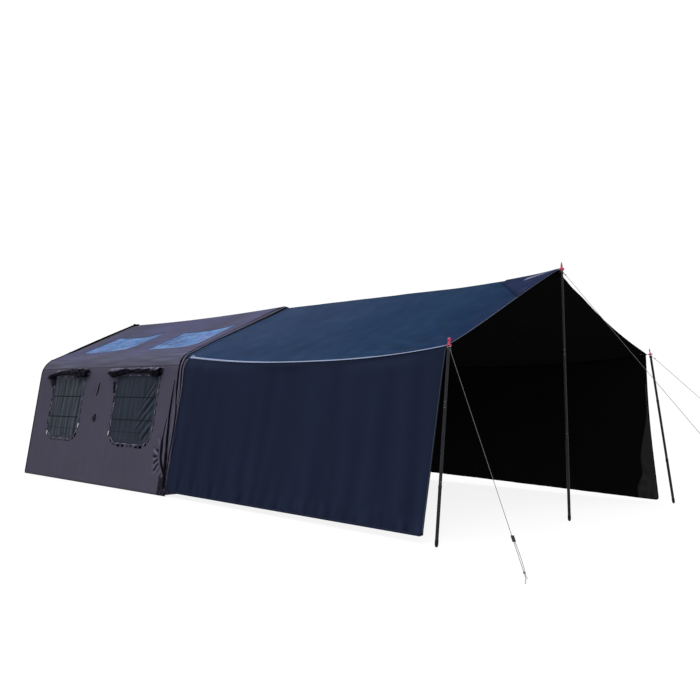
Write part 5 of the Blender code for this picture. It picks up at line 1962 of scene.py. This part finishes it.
def arch_route():
    """The middle line of an arch's tube, seen from the end, from the left foot to the right one."""
    depth = ARCH_GAP + ARCH_RADIUS
    s_values = spaced(ARCH_RADIUS * sin(WALL_LEAN) + 0.010, SECTION_RUN)
    inward = section(s_values + 0.001) - section(s_values - 0.001)
    inward = unit(np.stack([inward[:, 1], -inward[:, 0]], axis=1))
    left = section(s_values) + inward * depth
    reach = ARCH_APEX_BEND * sin(ROOF_SLOPE)
    left = left[left[:, 0] < -reach]
    crown_x = np.linspace(-reach, reach, 9)
    crown_centre = RIDGE_HEIGHT - (depth + ARCH_APEX_BEND) / cos(ROOF_SLOPE)
    crown = np.stack([crown_x, crown_centre + np.sqrt(ARCH_APEX_BEND**2 - crown_x**2)], axis=1)
    return np.concatenate([left, crown, left[::-1] * np.array((-1, 1))])


def build_air_frame():
    """Sleeved air beams: two arches, the ridge beam and two eave beams."""
    flat = arch_route()
    for name, sign in (("front", -1), ("rear", 1)):
        low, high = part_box(f"air_arch_{name}")
        y = (low.y + high.y) / 2
        points = np.stack([flat[:, 0], np.full(len(flat), y), flat[:, 1]], axis=1)
        pinch = np.array([noise.noise(Vector((x * 6, z * 6, 3.1 * sign))) for x, z in flat])
        radii = ARCH_RADIUS * (0.975 + 0.02 * pinch)
        radii[[0, -1]] = ARCH_RADIUS * 0.75
        arch = tube(f"arch_sleeve_{name}", points, radii, "air_beam", 28)
        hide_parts(f"air_arch_{name}")
    for name in ("ridge", "eave_left", "eave_right"):
        low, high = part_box(f"air_beam_{name}")
        middle = (low + high) / 2
        y_values = np.linspace(low.y, high.y, 90)
        shares = np.linspace(0, 1, 90)
        ends = np.minimum(1, np.minimum(shares, 1 - shares) * 60 + 0.55)
        radii = BEAM_RADIUS * ends * (0.97 + 0.02 * np.sin(y_values * 17))
        points = [(middle.x, y, middle.z) for y in y_values]
        beam = tube(f"beam_sleeve_{name}", points, radii, "air_beam", 24)
        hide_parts(f"air_beam_{name}")


def build_groundsheet():
    """The floor cloth, with soft waves."""
    low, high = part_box("groundsheet")

    def relief(a, b):
        edge = smooth_step((high.x - np.abs(a)) / 0.1) * smooth_step((high.y - np.abs(b)) / 0.1)
        waves = 0.5 + 0.5 * wave_field(a, b, 0.45, 91) + 0.3 * crease_field(a, b, 0.5, 93)
        return 0.0014 + 0.004 * edge * waves

    surface = Surface(lambda a, b: np.stack([a, b, 0 * a], axis=-1), relief, 1)
    grid = box_grid((low.x, high.x, low.y, high.y), 0.060, 0.060)
    floor = cloth("floor_cloth", surface, *grid, ["groundsheet"], "groundsheet")
    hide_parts("groundsheet")


# Camera, floor and light


def add_thing(name, data):
    """A new object for a camera, a lamp or the floor."""
    thing = bpy.data.objects.new(name, data)
    bpy.context.scene.collection.objects.link(thing)
    return thing


def build_camera():
    """The photograph's view."""
    camera = bpy.data.cameras.new("camera")
    camera.lens = CAMERA_LENS
    camera.sensor_width = SENSOR_WIDTH
    camera.clip_end = 500.0
    level = Vector((cos(CAMERA_YAW), -sin(CAMERA_YAW), 0.0))
    ahead = Vector((sin(CAMERA_YAW), cos(CAMERA_YAW), 0.0))
    forward = ahead * cos(CAMERA_PITCH) + Vector((0.0, 0.0, sin(CAMERA_PITCH)))
    upright = level.cross(forward)
    right = level * cos(CAMERA_ROLL) + upright * sin(CAMERA_ROLL)
    up = upright * cos(CAMERA_ROLL) - level * sin(CAMERA_ROLL)
    turn = Matrix((right, up, -forward)).transposed().to_4x4()
    thing = add_thing("camera", camera)
    thing.matrix_world = Matrix.Translation(CAMERA_PLACE) @ turn
    bpy.context.scene.camera = thing


def build_floor():
    """A pale floor without end."""
    mesh = bpy.data.meshes.new("studio_floor")
    corners = [(x * FLOOR_REACH, y * FLOOR_REACH, 0) for x, y in ((-1, -1), (1, -1), (1, 1), (-1, 1))]
    mesh.from_pydata(corners, [], [(0, 1, 2, 3)])
    shade = (FLOOR_SHADE,) * 3
    material = new_material("pale_floor", shade, 0.9, specular=0.0)
    vary_colour(material, shade, noisy(material, "Object", 0.6), 0.01)
    shader_of(material).inputs["Emission Color"].default_value = (1.0, 1.0, 1.0, 1.0)
    shader_of(material).inputs["Emission Strength"].default_value = FLOOR_GLOW
    mesh.materials.append(material)
    add_thing("studio_floor", mesh)


def build_light():
    """A soft sky that is brighter overhead, and one large soft lamp."""
    world = bpy.data.worlds.new("studio")
    bpy.context.scene.world = world
    world.use_nodes = True
    background = world.node_tree.nodes["Background"]
    background.inputs["Color"].default_value = (1.0, 1.0, 1.0, 1.0)
    height = coordinate(world, "Generated", "Z")
    feed(world, background, "Strength", ranged(world, height, SKY_START, 1.0, SKY_LOW, SKY_HIGH))
    lamp = bpy.data.lights.new("soft_lamp", "AREA")
    lamp.shape = "DISK"
    lamp.size = LAMP_SIZE
    lamp.energy = LAMP_ENERGY
    light = add_thing("soft_lamp", lamp)
    light.location = LAMP_PLACE
    light.rotation_euler = (Vector(LAMP_AIM) - Vector(LAMP_PLACE)).to_track_quat("-Z", "Y").to_euler()
    bpy.context.scene.view_settings.view_transform = "Standard"


def main():
    """Everything that shows."""
    build_camera()
    build_floor()
    build_light()
    for name, side in SIDES.items():
        build_tent_side(name, side)
        build_roof(name, side)
    build_ends()
    build_joining_strip()
    build_canopy_roof()
    for name, side in SIDES.items():
        build_canopy_wall(name, side)
    build_poles()
    build_corner_tabs()
    build_ropes()
    build_air_frame()
    build_groundsheet()


main()
